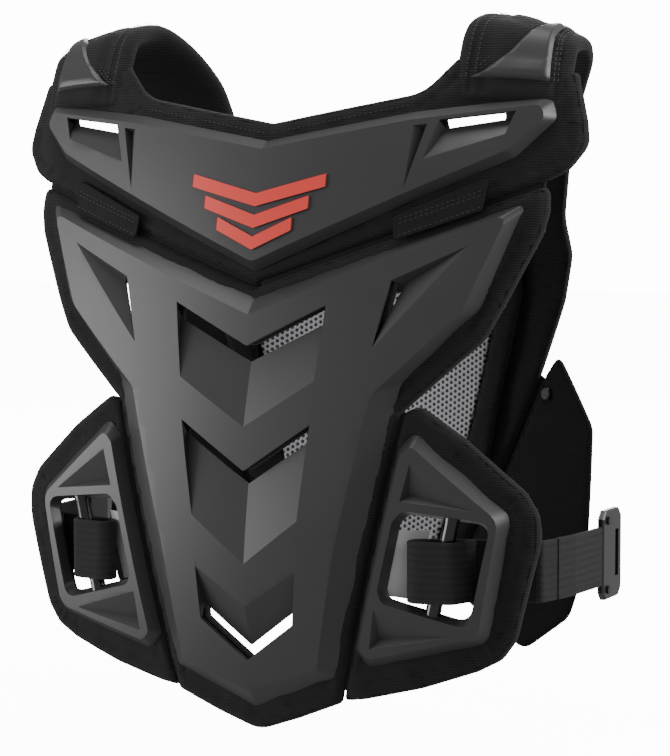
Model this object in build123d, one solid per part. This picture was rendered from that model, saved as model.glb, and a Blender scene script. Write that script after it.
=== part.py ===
"""Off-road chest protector: hard plates on foam liners, front and back, worn over the shoulders.

Millimetres, +Z up, +X to the wearer's left, -Y out of the wearer's chest.
The origin is midway between the shoulders, under the crests of the shoulder pads.
"""
import os
from math import cos, radians, sin

from build123d import *

# ---- front form: a shallow paraboloid that every front plate and liner follows ----
FRONT_Y = -88.6            # foremost point of the chest plate
FRONT_BULGE_Z = -274.0     # height of that point
FRONT_SIDE_RADIUS = 567.0  # curvature from side to side
FRONT_TALL_RADIUS = 900.0  # curvature from top to bottom

# ---- back form: rounder, and open towards the wearer ----
BACK_Y = 136.0
BACK_BULGE_Z = -170.0
BACK_SIDE_RADIUS = 250.0
BACK_TALL_RADIUS = 600.0

# ---- thicknesses ----
SHELL_WALL = 3.0           # moulded plate
SHELL_DEPTH = 8.0          # plate face to the foot of its rim
RIM_WALL = 5.0             # width of the rim that stands on the liner
LINER_THICKNESS = 10.0     # foam liner
WING_SET_BACK = 2.0        # side plates sit this much behind the chest plate
SOFT_GAP = 2.5             # flexible fold between two liners, filled by their skin

# ---- chest plate, half outline ----
CHEST_TOP_Z = -147.0
CHEST_TIP_Z = -403.0
CHEST_CORNER = (167.0, -88.0)
CHEST_SIDE = (144.0, -152.0)
CHEST_WAIST = (98.0, -198.0)
CHEST_FOOT = (55.5, -380.0)
LINER_BORDER = 16.0        # liner seen below the chest plate
SIDE_BORDER = 12.0         # liner seen beside it

# ---- chevron louvres: lip centre height, half width, rise of the arm, slot, ramp height ----
LOUVRE_DEPTH = 8.0
UPPER_LOUVRE = (-176.0, 52.0, 26.0, 11.0, 50.0)
MIDDLE_LOUVRE = (-253.0, 44.0, 30.0, 9.0, 57.0)
LOWER_LOUVRE = (-372.0, 32.0, 23.0, 8.0, 34.0)
WINDOW_STEP = 4.0          # liner opening ends this far above the foot of the ramp
SIDE_VENT = ((137.0, -114.0), (93.0, -134.0), (83.0, -175.0))

# ---- yoke, half outline ----
YOKE_TOP_Z = -50.0
YOKE_TIP_Z = -131.0
YOKE_NECK = (95.0, -33.0)
YOKE_SHOULDER = (176.0, -24.0)
YOKE_SIDE = (158.0, -61.0)
YOKE_SLOT = ((113.0, -37.0), (159.0, -31.5), (156.0, -36.5), (115.0, -43.5))
NECKLINE_Z = -39.0
BADGE_WIDTH = 92.0
BADGE_HEIGHT = 40.0
BADGE_THICKNESS = 1.5

# ---- fold between yoke and chest ----
FOLD_CENTRE_Z = -139.0
FOLD_END = (178.0, -76.0)
FOLD_GAP = 3.0
TAB_INNER_X = 88.0
TAB_OUTER_X = 142.0
TAB_THICKNESS = 2.0

# ---- side plates (wings) ----
WING_OUTLINE = ((107.0, -226.0), (165.0, -276.0), (151.0, -354.0), (77.0, -373.0), (68.0, -362.0),
                (97.0, -237.0))
WINDOW_OUTLINE = ((103.0, -274.0), (155.0, -280.0), (141.0, -344.0), (89.5, -330.0), (87.5, -323.0),
                  (97.0, -281.0))
GROOVE_TOP = (98.0, -215.0)
GROOVE_FOOT = (57.0, -396.0)

# ---- straps ----
POST_DIAMETER = 9.6
POST_TOP = (130.5, -277.0)
POST_FOOT = (117.0, -341.0)
STRAP_WIDTH = 38.0
STRAP_THICKNESS = 2.0
STRAP_Z = -311.0
STRAP_CLEARANCE = 0.4
BUCKLE_LENGTH = 34.0
BUCKLE_BORDER = 9.5        # buckle above and below the strap
BUCKLE_HEIGHT = STRAP_WIDTH + 2 * BUCKLE_BORDER
BUCKLE_THICKNESS = 4.0
BUCKLE_X = 188.0           # plane of the free strap beside the back wing
STRAP_END_Y = 36.0
BUCKLE_GAP = 2.4           # strap end to buckle, room for the buckle to swivel

# ---- shoulder pads ----
SHOULDER_X = 150.5
SHOULDER_WIDTH = 71.0
SHOULDER_THICKNESS = 13.0
SHOULDER_SLOPE = 15.0      # outer edge lower than the neck edge
WEBBING_WIDTH = 25.0
WEBBING_THICKNESS = 1.6

# ---- back plates ----
BACK_WING_THICKNESS = 6.0
BACK_HINGE_Z = -36.0       # end of the shoulder pads, where the back swings
RIVET_DIAMETER = 9.0


LOW = (Align.CENTER, Align.CENTER, Align.MIN)


def front_y(x, z, depth=0.0):
    """Y on the front form, a depth behind the chest plate's face."""
    across = x**2 / (2 * FRONT_SIDE_RADIUS)
    along = (z - FRONT_BULGE_Z)**2 / (2 * FRONT_TALL_RADIUS)
    return FRONT_Y + depth + across + along


def back_y(x, z, depth=0.0):
    """Y on the back form, a depth inside the back plate's face."""
    across = x**2 / (2 * BACK_SIDE_RADIUS)
    along = (z - BACK_BULGE_Z)**2 / (2 * BACK_TALL_RADIUS)
    return BACK_Y - depth - across - along


def form_face(form, reach, low, high):
    """One spline face over the whole extent of a form."""
    steps = 12
    grid = []
    for i in range(steps + 1):
        x = reach * (2 * i / steps - 1)
        column = [low + (high - low) * j / steps for j in range(steps + 1)]
        grid.append([Vector(x, form(x, z), z) for z in column])
    return Face.make_surface_from_array_of_points(grid)


FORM_FACES = {front_y: form_face(front_y, 215, -440, 20), back_y: form_face(back_y, 190, -400, -20)}


def layer(form, near, far):
    """Closed slab between two depths of a form."""
    inward = 1 if form is front_y else -1
    face = Pos(0, inward * near, 0) * FORM_FACES[form]
    return extrude(face, amount=far - near, dir=(0, inward, 0))


def prism(points, radii=0.0, shrink=0.0):
    """Endless bar along Y with a rounded outline in X and Z."""
    face = make_face(Plane.XZ * FilletPolyline(*points, radius=radii, close=True))
    if shrink:
        face = offset(face, amount=-shrink, kind=Kind.INTERSECTION)
    return extrude(face, amount=200, both=True)


def plate(form, points, radii, near, far):
    """Piece of a form's layer inside an outline."""
    return (layer(form, near, far) & prism(points, radii)).solid()


def both_sides(half):
    """Full outline from a right half that starts and ends on the centre line."""
    return list(half) + mirrored(half[1:-1])


def mirrored(points):
    """Outline points on the other side, in the opposite order."""
    return [(-x, z) for x, z in reversed(points)]


def pan(form, points, radii, near, windows=()):
    """Moulded plate: a thin face with a rim that stands on the liner."""
    body = plate(form, points, radii, near, near + SHELL_DEPTH)
    body -= layer(form, near + SHELL_WALL, near + SHELL_DEPTH + 2) & prism(points, radii, RIM_WALL)
    for window in windows:
        body -= prism(window, 1.0)
    return body.solid()


def chevron(louvre, top, bottom):
    """V-shaped band across a louvre, between two distances below its lip."""
    lip_z, half_width, rise = louvre[:3]
    upper = [(-half_width, lip_z + rise - top), (0, lip_z - top), (half_width, lip_z + rise - top)]
    lower = [(half_width, lip_z + rise - bottom), (0, lip_z - bottom), (-half_width, lip_z + rise - bottom)]
    return upper + lower


def arm_bar(louvre, section):
    """Bars of one section (depth, height) along both arms of a louvre."""
    lip_z, half_width, rise = louvre[:3]
    corners = [on_front(0, lip_z + height, depth) for depth, height in section]
    face = make_face(Polyline(*corners, close=True))
    back_step = front_y(half_width, lip_z + rise) - front_y(0, lip_z)
    run = Vector(half_width, back_step, rise)
    arm = extrude(face, amount=run.length, dir=run)
    return arm + mirror(arm, about=Plane.YZ)


def louvre_ramp(louvre, upside_down=False):
    """Sloped floor of a louvre, from the slot up to the plate's face."""
    slot, ramp = louvre[3], louvre[4]
    sign = 1 if upside_down else -1
    deep = sign * slot
    flush = sign * ramp
    root = flush + sign * 3
    floor = [(LOUVRE_DEPTH, deep), (0, flush), (0, root), (SHELL_WALL, root)]
    return arm_bar(louvre, floor + [(LOUVRE_DEPTH + SHELL_WALL, deep)])


def louvre_cut(louvre, upside_down=False):
    """Space in front of a louvre's ramp, with its slot."""
    slot, ramp = louvre[3], louvre[4]
    sign = 1 if upside_down else -1
    deep = sign * slot
    flush = sign * ramp
    section = [(-6, 0), (LOUVRE_DEPTH + 6, 0), (LOUVRE_DEPTH + 6, deep), (LOUVRE_DEPTH, deep), (0, flush),
               (-6, flush)]
    return arm_bar(louvre, section)


def louvred(body, louvre, upside_down=False):
    """Plate with one louvre let into it."""
    body -= louvre_cut(louvre, upside_down)
    return (body + louvre_ramp(louvre, upside_down)).solid()


def frame_plate(form, points, radii, near, window, window_radii, border):
    """Pan with a large window whose edge is a wall as deep as the rim."""
    body = pan(form, points, radii, near)
    wall = layer(form, near, near + SHELL_DEPTH) & prism(window, window_radii, -border)
    return (body + (wall & prism(points, radii)) - prism(window, window_radii)).solid()


def on_front(x, z, depth):
    """Point on the front form."""
    return Vector(x, front_y(x, z, depth), z)


def liner_window(louvre, upside_down=False):
    """Opening in the liner behind a louvre, clear of the ramp where it is deeper than the rim."""
    lip_z, half_width, rise, _, ramp = louvre
    share = (half_width + 1) / half_width
    wider = (lip_z, half_width * share, rise * share)
    bottom = ramp - WINDOW_STEP
    return chevron(wider, -bottom, 1) if upside_down else chevron(wider, -1, bottom)


# ---- front plates and liners ----
def chest_outline():
    """Outline of the chest plate with its corner radii."""
    half = [(0, CHEST_TOP_Z), CHEST_CORNER, CHEST_SIDE, CHEST_WAIST, CHEST_FOOT, (0, CHEST_TIP_Z)]
    radii = [2, 4, 24, 10, 4, 4]
    return both_sides(half), radii + radii[-2:0:-1]


def chest_shell():
    """Chest plate with three chevron louvres and two side vents."""
    points, radii = chest_outline()
    body = pan(front_y, points, radii, 0, [SIDE_VENT, mirrored(SIDE_VENT)])
    body = louvred(body, UPPER_LOUVRE)
    body = louvred(body, MIDDLE_LOUVRE)
    return louvred(body, LOWER_LOUVRE, upside_down=True)


def chest_liner():
    """Foam liner behind the chest plate, open behind its louvres and vents."""
    top = fold_line(-FOLD_GAP / 2)
    shoulder = [top[1], (CHEST_CORNER[0] + SIDE_BORDER, -95), (CHEST_CORNER[0] + SIDE_BORDER - 3, -108)]
    side = [(CHEST_SIDE[0] + SIDE_BORDER, CHEST_SIDE[1]), (CHEST_SIDE[0] + 3, -171), (GROOVE_TOP[0] + 10, -207)]
    foot = [(GROOVE_TOP[0] - SOFT_GAP / 2, GROOVE_TOP[1]), (GROOVE_FOOT[0] - SOFT_GAP / 2, GROOVE_FOOT[1])]
    tip = [(28, CHEST_TIP_Z - 6), (0, CHEST_TIP_Z - LINER_BORDER)]
    points = both_sides([top[0]] + shoulder + side + foot + tip)
    body = plate(front_y, points, 1.5, SHELL_DEPTH, SHELL_DEPTH + LINER_THICKNESS)
    windows = [liner_window(UPPER_LOUVRE), liner_window(MIDDLE_LOUVRE)]
    windows.append(liner_window(LOWER_LOUVRE, upside_down=True))
    for window in windows + [SIDE_VENT, mirrored(SIDE_VENT)]:
        body -= prism(window, 1.0)
    return body.solid()


def fold_line(shift):
    """Centre and outer end of the fold between yoke and chest, moved up by a shift."""
    return (0, FOLD_CENTRE_Z + shift), (FOLD_END[0], FOLD_END[1] + shift)


def fold_z(x):
    """Height of the fold at a distance from the centre line."""
    return FOLD_CENTRE_Z + (FOLD_END[1] - FOLD_CENTRE_Z) * x / FOLD_END[0]


def yoke_outline():
    """Outline of the yoke plate with its corner radii."""
    corner = (YOKE_SHOULDER[0] + 4, YOKE_SHOULDER[1] - 14)
    half = [(0, YOKE_TOP_Z), YOKE_NECK, YOKE_SHOULDER, corner, YOKE_SIDE, (0, YOKE_TIP_Z)]
    radii = [2, 30, 5, 8, 8, 6]
    return both_sides(half), radii + radii[-2:0:-1]


def yoke_shell():
    """Upper plate across the collar bones, with a slot near each shoulder."""
    points, radii = yoke_outline()
    return pan(front_y, points, radii, 0, [YOKE_SLOT, mirrored(YOKE_SLOT)])


def yoke_badge():
    """Plain raised badge of three chevron bars."""
    bars = []
    centre_z = (YOKE_TOP_Z + YOKE_TIP_Z) / 2
    for index in range(3):
        width = BADGE_WIDTH / 2 * (1 - 0.22 * index)
        z = centre_z + BADGE_HEIGHT / 2 - index * BADGE_HEIGHT / 3
        band = chevron((z - 12, width, 12), 0, 8)
        bars.append(plate(front_y, band, 0.6, -BADGE_THICKNESS, 0))
    return Compound(bars)


def yoke_liner():
    """Foam liner behind the yoke plate, from the neckline to the fold."""
    bottom = fold_line(FOLD_GAP / 2)
    neck = [(0, NECKLINE_Z), (100, -19), (SHOULDER_X - SHOULDER_WIDTH / 2 - 1, -7.5)]
    outer = [(SHOULDER_X + SHOULDER_WIDTH / 2, -7.5), (197, -40), (199, -54), (189, -68)]
    points = both_sides(neck + outer + [bottom[1], bottom[0]])
    body = plate(front_y, points, 1.5, SHELL_DEPTH, SHELL_DEPTH + LINER_THICKNESS)
    for window in (YOKE_SLOT, mirrored(YOKE_SLOT)):
        body -= prism(window, 1.0)
    return body.solid()


def flex_tab():
    """Fabric tab that ties the chest liner to the yoke liner."""
    inner = [(TAB_INNER_X, fold_z(TAB_INNER_X) + 11), (TAB_INNER_X + 2, fold_z(TAB_INNER_X) - 4.5)]
    outer = [(TAB_OUTER_X, fold_z(TAB_OUTER_X) - 4.5), (TAB_OUTER_X + 3, fold_z(TAB_OUTER_X) + 15)]
    near = SHELL_DEPTH - TAB_THICKNESS - 1.9
    return plate(front_y, inner + outer, 2.0, near, near + TAB_THICKNESS)


# ---- side plates ----
def wing_shell():
    """Six-sided frame plate with the strap window."""
    radii = [6, 8, 7, 4, 4, 4]
    near = WING_SET_BACK
    return frame_plate(front_y, WING_OUTLINE, radii, near, WINDOW_OUTLINE, 3.0, 3.0)


def wing_liner():
    """Foam liner behind the side plate, open behind the window."""
    gap = SOFT_GAP / 2
    inner = [(GROOVE_FOOT[0] + gap, GROOVE_FOOT[1]), (GROOVE_TOP[0] + gap, GROOVE_TOP[1])]
    top = [(108, -211), (138, -232), (174, -262), (182, -276)]
    outer = [(181, -294), (166, -352), (158, -365), (143, -373), (108, -385), (72, -394)]
    points = inner + top + outer
    near = WING_SET_BACK + SHELL_DEPTH
    body = plate(front_y, points, 1.0, near, near + LINER_THICKNESS)
    return (body - prism(WINDOW_OUTLINE, 3.0, -2.0)).solid()


def strap_post():
    """Round post across the window, with its ends seated in the frame's walls."""
    depth = WING_SET_BACK + SHELL_DEPTH - 1
    top = on_front(*POST_TOP, depth)
    foot = on_front(*POST_FOOT, depth)
    axis = foot - top
    rod = Plane(origin=top, z_dir=axis) * Cylinder(POST_DIAMETER / 2, axis.length, align=LOW)
    return (rod & prism(WINDOW_OUTLINE, 3.0)).solid()


def post_x(z):
    """X of the post's axis at a height."""
    share = (z - POST_TOP[1]) / (POST_FOOT[1] - POST_TOP[1])
    return POST_TOP[0] + share * (POST_FOOT[0] - POST_TOP[0])


def webbing(points, radius, thickness, width, centre_z):
    """Flat webbing that stands on edge, along a path in plan."""
    path = FilletPolyline(*points, radius=radius)
    ribbon = trace(path, line_width=thickness)
    return (Pos(0, 0, centre_z - width / 2) * extrude(ribbon, amount=width)).solid()


def strap_loop():
    """Elastic strap round the post, sewn to itself, and back behind the liner."""
    z = STRAP_Z
    reach = POST_DIAMETER / 2 + STRAP_THICKNESS / 2 + STRAP_CLEARANCE + 1
    post = WING_SET_BACK + SHELL_DEPTH - 1
    behind = WING_SET_BACK + SHELL_DEPTH + LINER_THICKNESS + STRAP_THICKNESS
    lean = abs(post_x(z - STRAP_WIDTH / 2) - post_x(z))
    left = post_x(z) - reach - lean - 8
    right = post_x(z) + reach + lean
    route = [(strap_end_x(), behind), (right + 6, behind), (left + 6, post + reach + 1), (left, post + 3),
             (left, post - 3), (left + 6, post - reach), (right - 2, post - reach),
             (right + 5, behind - STRAP_THICKNESS)]
    points = [(x, front_y(x, z, depth)) for x, depth in route]
    return webbing(points, 1.5, STRAP_THICKNESS, STRAP_WIDTH, z)


def strap_end_x():
    """X where the strap leaves the side plate's liner."""
    return 176.0


def strap_hinge():
    """Point that the free strap swings about."""
    x = strap_end_x() + 1.6
    depth = WING_SET_BACK + SHELL_DEPTH + LINER_THICKNESS + STRAP_THICKNESS
    return Vector(x, front_y(x, STRAP_Z, depth), STRAP_Z)


def strap_tail():
    """Free length of the strap, as far as the buckle."""
    start = strap_hinge()
    path = [(start.X, start.Y), (start.X + 6, start.Y + 22), (BUCKLE_X - 2, 10), (BUCKLE_X, STRAP_END_Y)]
    return webbing(path, 12, STRAP_THICKNESS, STRAP_WIDTH, STRAP_Z)


def buckle_place(along=0.0, height=0.0, lift=0.0):
    """Place on the buckle, from the end at the strap, its mid height and its middle plane."""
    return Pos(BUCKLE_X + lift, STRAP_END_Y + BUCKLE_GAP + along, STRAP_Z + height)


def strap_buckle():
    """Hook plate at the strap's end, with a slot for the hook."""
    body = buckle_place(BUCKLE_LENGTH / 2) * Box(BUCKLE_THICKNESS, BUCKLE_LENGTH, BUCKLE_HEIGHT)
    body = chamfer(body.edges().filter_by(Axis.X), 5)
    body = chamfer(body.faces().sort_by(Axis.X)[-1].edges(), 1)
    slot = buckle_place(BUCKLE_LENGTH - 9) * Box(20, 6, STRAP_WIDTH - 8)
    return (body - slot).solid()


def buckle_screws():
    """Screw heads on the buckle."""
    heads = []
    for height in (-22, 22):
        place = buckle_place(8, height, BUCKLE_THICKNESS / 2) * Rot(0, 90, 0)
        heads.append((place * Cylinder(2.6, 1.4, align=LOW)).solid())
    return Compound(heads)


# ---- shoulders ----
ARCH = [(-15.5, -5.0), (-4, 13), (22, 17), (51, 8), (74, -10.5), (85, -31)]
ARCH_X = [0, 0, 0, -6, -16, -22]
ARCH_WIDTH = [1.0, 1.0, 1.0, 0.97, 0.88, 0.78]


def shoulder_strip(widths, thickness, lift, shifts, first=0):
    """Strip over the shoulder arch, through one rounded section at each station."""
    spine = Spline(*[(0, y, z) for y, z in ARCH])
    sections = []
    for index in range(first, first + len(widths)):
        y, z = ARCH[index]
        along = spine.tangent_at(spine.param_at_point(Vector(0, y, z)))
        out = Vector(0, -along.Z, along.Y)
        slope = radians(SHOULDER_SLOPE)
        across = Vector(cos(slope), -sin(slope) * out.Y, -sin(slope) * out.Z)
        lifted = out * lift
        centre = Vector(SHOULDER_X + shifts[index - first], y, z) + lifted
        section = Plane(origin=centre, x_dir=across, z_dir=along)
        width = widths[index - first]
        sections.append(section * RectangleRounded(width, thickness, min(thickness, width) * 0.42))
    return loft([s.face() for s in sections]).solid()


def shoulder_pad():
    """Quilted pad over the shoulder, from the yoke liner to the back."""
    widths = [SHOULDER_WIDTH * share for share in ARCH_WIDTH]
    return shoulder_strip(widths, SHOULDER_THICKNESS, 0, ARCH_X)


def shoulder_cap():
    """Smooth moulded triangle on the front of the shoulder pad."""
    thickness = 2.4
    lift = SHOULDER_THICKNESS / 2 + thickness / 2 + 0.2
    return shoulder_strip([44, 30, 12], thickness, lift, [6, 8, 10])


# ---- back ----
def back_outline():
    """Outline of the back liner."""
    half = [(0, -80), (62, -68), (104, -46), (151, -46), (156, -60), (149, -98), (155, -122), (148, -152),
            (128, -200), (100, -262), (64, -332), (0, -345)]
    return both_sides(half)


def back_liner():
    """Foam liner of the back panel."""
    return plate(back_y, back_outline(), 2.0, SHELL_DEPTH, SHELL_DEPTH + LINER_THICKNESS)


def back_shell_upper():
    """Back plate between the shoulder blades."""
    half = [(0, -94), (56, -84), (94, -70), (106, -80), (110, -103), (0, -150)]
    radii = [2, 20, 6, 5, 6, 6]
    points = both_sides(half)
    return pan(back_y, points, radii + radii[-2:0:-1], 0)


BACK_LOUVRES = [(-215.0, 44.0, 22.0, 9.0, 40.0), (-280.0, 34.0, 18.0, 9.0, 36.0)]


def back_shell_lower():
    """Back plate over the spine, with two chevron slots."""
    half = [(0, -162), (124, -111), (132, -130), (126, -152), (90, -230), (54, -318), (0, -332)]
    radii = [4, 3, 8, 12, 30, 6, 6]
    points = both_sides(half)
    slots = [chevron(louvre, 0, louvre[3]) for louvre in BACK_LOUVRES]
    return pan(back_y, points, radii + radii[-2:0:-1], 0, slots)


def mesh_outline():
    """Outline of the mesh that faces the spine."""
    side = [(94, -150), (71, -248), (50, -322)]
    return side + mirrored(side)


def spine_mesh():
    """Open mesh on a spacer pad, against the wearer's spine."""
    near = SHELL_DEPTH + LINER_THICKNESS
    return plate(back_y, mesh_outline(), 4.0, near, near + 4)


def back_bolster():
    """Raised pad beside the spine mesh."""
    outline = [(97, -112), (117, -112), (115, -150), (98, -215), (90, -262), (69.5, -262), (73.5, -246),
               (96.5, -149)]
    near = SHELL_DEPTH + LINER_THICKNESS
    return plate(back_y, outline, 3.0, near, near + 9)


def adjuster_plane():
    """Plane on the liner's outer face, where the shoulder webbing is sewn to the back."""
    x = SHOULDER_X + ARCH_X[-1]
    z = BACK_HINGE_Z - 30
    centre = Vector(x, back_y(x, z, SHELL_DEPTH) + 1.2, z)
    out = Vector(x / BACK_SIDE_RADIUS, 1, (z - BACK_BULGE_Z) / BACK_TALL_RADIUS)
    sideways = Vector(1, -x / BACK_SIDE_RADIUS, 0)
    return Plane(origin=centre, x_dir=sideways, z_dir=out)


def shoulder_webbing():
    """Webbing from the shoulder pad's end to its seam on the back liner."""
    reach = 27
    strip = Pos(0, reach / 2 - 12, WEBBING_THICKNESS / 2) * Box(WEBBING_WIDTH, reach + 24, WEBBING_THICKNESS)
    return (adjuster_plane() * strip).solid()


def shoulder_adjuster():
    """Ladder-lock ring that lies on the shoulder webbing."""
    outer = Box(WEBBING_WIDTH + 11, 24, 3.6)
    body = chamfer(outer.edges().filter_by(Axis.Z), 3)
    for centre in (-5.2, 5.2):
        body -= Pos(0, centre, 0) * Box(WEBBING_WIDTH + 1.5, 6.2, 6)
    return (adjuster_plane() * Pos(0, 2, WEBBING_THICKNESS + 2.0) * body).solid()


# ---- back wings ----
def back_wing_outline():
    """Outline of a back wing's liner."""
    gap = SOFT_GAP + 0.8
    inner = [(64 + gap, -334), (128 + gap, -201)]
    return inner + [(142, -187), (174, -232), (176, -316), (166, -352), (130, -378), (78, -354)]


def back_wing_liner():
    """Padded flap from the back liner round the wearer's side."""
    body = plate(back_y, back_wing_outline(), 1.5, SHELL_DEPTH, SHELL_DEPTH + BACK_WING_THICKNESS)
    return (body - rivet_hole()).solid()


def back_wing_shell():
    """Hard plate on the back wing, with the slot that the buckle hooks into."""
    points = [(143, -206), (165, -238), (166, -312), (157, -342), (128, -364), (88, -347), (83, -332)]
    body = pan(back_y, points, 4.0, 0)
    body -= prism([(150, -282), (160, -282), (160, -340), (150, -336)], 2.0)
    return (body - rivet_hole()).solid()


def rivet_place():
    """Centre line of the wing rivet, from its outer head inwards."""
    x, z = 140.0, -214.0
    out = Vector(x / BACK_SIDE_RADIUS, 1, (z - BACK_BULGE_Z) / BACK_TALL_RADIUS).normalized()
    face = Vector(x, back_y(x, z, 0), z)
    return Plane(origin=face, z_dir=out)


def rivet_hole():
    """Hole for the rivet's shank."""
    return rivet_place() * Cylinder(RIVET_DIAMETER / 4 + 0.2, 60)


def back_wing_rivet():
    """Rivet through the wing's plate and liner, with a head on each face."""
    grip = SHELL_DEPTH + BACK_WING_THICKNESS
    slope = abs(rivet_place().z_dir.Y)
    length = grip * slope
    shank = Cylinder(RIVET_DIAMETER / 4, length + 1, align=LOW)
    head = Cylinder(RIVET_DIAMETER / 2, 1.8, align=LOW)
    head = chamfer(head.faces().sort_by(Axis.Z)[-1].edges(), 0.8)
    inner = Pos(0, 0, -length - 0.5) * Rot(180, 0, 0) * head
    outer = Pos(0, 0, 0.3) * head
    return (rivet_place() * (Pos(0, 0, -length - 0.6) * shank + inner + outer)).solid()


# ---- all pieces ----
CENTRE_PIECES = {
    "yoke_shell": yoke_shell,
    "yoke_badge": yoke_badge,
    "yoke_liner": yoke_liner,
    "chest_shell": chest_shell,
    "chest_liner": chest_liner,
    "back_shell_upper": back_shell_upper,
    "back_shell_lower": back_shell_lower,
    "back_liner": back_liner,
    "spine_mesh": spine_mesh,
}
PAIRED_PIECES = {
    "shoulder_pad": shoulder_pad,
    "shoulder_cap": shoulder_cap,
    "flex_tab": flex_tab,
    "shoulder_webbing": shoulder_webbing,
    "shoulder_adjuster": shoulder_adjuster,
    "wing_shell": wing_shell,
    "wing_liner": wing_liner,
    "strap_post": strap_post,
    "strap_loop": strap_loop,
    "strap_tail": strap_tail,
    "strap_buckle": strap_buckle,
    "buckle_screws": buckle_screws,
    "back_bolster": back_bolster,
    "back_wing_liner": back_wing_liner,
    "back_wing_shell": back_wing_shell,
    "back_wing_rivet": back_wing_rivet,
}


def write_piece(name, shape):
    """Write one piece to its own STEP file."""
    export_step(shape, os.path.join("parts", name + ".step"))


os.makedirs("parts", exist_ok=True)
for name, make in CENTRE_PIECES.items():
    write_piece(name, make())
for name, make in PAIRED_PIECES.items():
    piece = make()
    write_piece("left_" + name, piece)
    write_piece("right_" + name, mirror(piece, about=Plane.YZ))
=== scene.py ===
"""Off-road chest protector: the looks of each piece on the fixed frame.

Lengths in the outlines are millimetres, +Z up, -Y out of the chest; every mesh is written in metres.
"""
from math import cos, pi, radians, sin, tan

import bmesh
import bpy
import numpy as np
from mathutils import Matrix, Vector


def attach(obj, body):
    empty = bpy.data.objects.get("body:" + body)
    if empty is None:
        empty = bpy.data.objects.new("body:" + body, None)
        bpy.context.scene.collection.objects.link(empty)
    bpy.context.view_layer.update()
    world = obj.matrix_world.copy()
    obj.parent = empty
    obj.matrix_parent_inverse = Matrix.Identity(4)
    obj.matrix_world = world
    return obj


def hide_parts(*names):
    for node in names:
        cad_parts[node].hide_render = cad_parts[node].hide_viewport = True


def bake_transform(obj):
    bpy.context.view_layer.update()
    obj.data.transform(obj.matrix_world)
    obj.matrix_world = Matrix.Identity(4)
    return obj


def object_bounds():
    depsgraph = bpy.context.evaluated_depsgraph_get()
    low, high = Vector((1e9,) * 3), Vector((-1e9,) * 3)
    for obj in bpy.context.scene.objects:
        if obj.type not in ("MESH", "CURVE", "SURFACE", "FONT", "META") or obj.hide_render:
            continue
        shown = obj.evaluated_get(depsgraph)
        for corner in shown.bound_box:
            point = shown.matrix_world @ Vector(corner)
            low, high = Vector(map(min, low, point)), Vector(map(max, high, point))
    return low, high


bl_info = {
    "name": "Chest Protector",
    "version": (1, 0, 0),
    "blender": (4, 5, 0),
    "location": "View3D > Sidebar > Protector",
    "description": "Builds a louvred off-road chest protector on its frame",
    "category": "Add Mesh",
}

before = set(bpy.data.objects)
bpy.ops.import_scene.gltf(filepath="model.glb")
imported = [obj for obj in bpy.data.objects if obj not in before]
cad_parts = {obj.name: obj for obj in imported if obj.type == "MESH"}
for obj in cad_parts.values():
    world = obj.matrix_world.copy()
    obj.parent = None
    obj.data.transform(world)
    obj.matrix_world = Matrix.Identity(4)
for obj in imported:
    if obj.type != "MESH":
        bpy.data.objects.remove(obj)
CAD_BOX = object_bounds()
MM = 0.001
SIDES = ((1, "left"), (-1, "right"))

# ---- forms that the plates and liners follow ----
FRONT_Y, FRONT_BULGE_Z, FRONT_SIDE_RADIUS, FRONT_TALL_RADIUS = -88.6, -274.0, 567.0, 900.0
BACK_Y, BACK_BULGE_Z, BACK_SIDE_RADIUS, BACK_TALL_RADIUS = 136.0, -170.0, 250.0, 600.0
SHELL_DEPTH, LINER_THICKNESS, WING_SET_BACK = 8.0, 10.0, 2.0
FOLD_CENTRE_Z, FOLD_END, FOLD_GAP = -139.0, (178.0, -76.0), 3.0
GROOVE_TOP, GROOVE_FOOT = (98.0, -215.0), (57.0, -396.0)
BACK_HINGE_Z = -36.0
LINER_SINK = 0.6
TAB_DEPTH = SHELL_DEPTH - 4.3


def front_y(x, z):
    """Y of the front form."""
    return FRONT_Y + x**2 / (2 * FRONT_SIDE_RADIUS) + (z - FRONT_BULGE_Z)**2 / (2 * FRONT_TALL_RADIUS)


def back_y(x, z):
    """Y of the back form."""
    return BACK_Y - x**2 / (2 * BACK_SIDE_RADIUS) - (z - BACK_BULGE_Z)**2 / (2 * BACK_TALL_RADIUS)


def front(x, depth, z):
    """Point a depth behind the front form."""
    return Vector((x, front_y(x, z) + depth, z))


def back(x, depth, z):
    """Point a depth inside the back form."""
    return Vector((x, back_y(x, z) - depth, z))


# ---- outlines, right half or whole, as (x, z) ----
CHEST_FOOT = [(0, -147), (167, -88), (144, -152), (98, -198), (74.5, -300), (55.5, -380), (0, -403)]
CHEST_RIDGE = [(0, -157), (159, -95), (135.5, -154), (83, -204), (60, -300), (47, -374), (0, -392)]
CHEST_RADII = [2, 4, 24, 12, 60, 4, 5]
YOKE_FOOT = [(0, -50), (95, -33), (176, -24), (180, -38), (158, -61), (0, -131)]
YOKE_RIDGE = [(0, -55), (95, -38), (172, -29), (175, -37.5), (155, -56.5), (0, -124.5)]
YOKE_RADII = [2, 30, 6, 6, 12, 8]
WING_FOOT = [(107, -226), (165, -276), (151, -354), (77, -373), (68, -362), (97, -237)]
WING_RIDGE = [(107, -234), (159.5, -278.5), (147, -349.5), (79, -366.5), (73.8, -360.5), (101, -240)]
WING_RADII = [7, 12, 12, 6, 6, 5]
WINDOW_RIM = [(103, -273.5), (155.5, -279.5), (141.5, -345), (89, -331), (86.6, -323), (96.4, -280.5)]
WINDOW_EDGE = [(104, -276.5), (152.5, -282), (139.5, -341.5), (91.5, -328.5), (89.8, -323), (98.6, -282)]
WINDOW_RADII = [6, 8, 8, 6, 5, 6]
BACK_FOOT = [(0, -162), (124, -111), (132, -130), (126, -152), (90, -230), (54, -318), (0, -332)]
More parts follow.
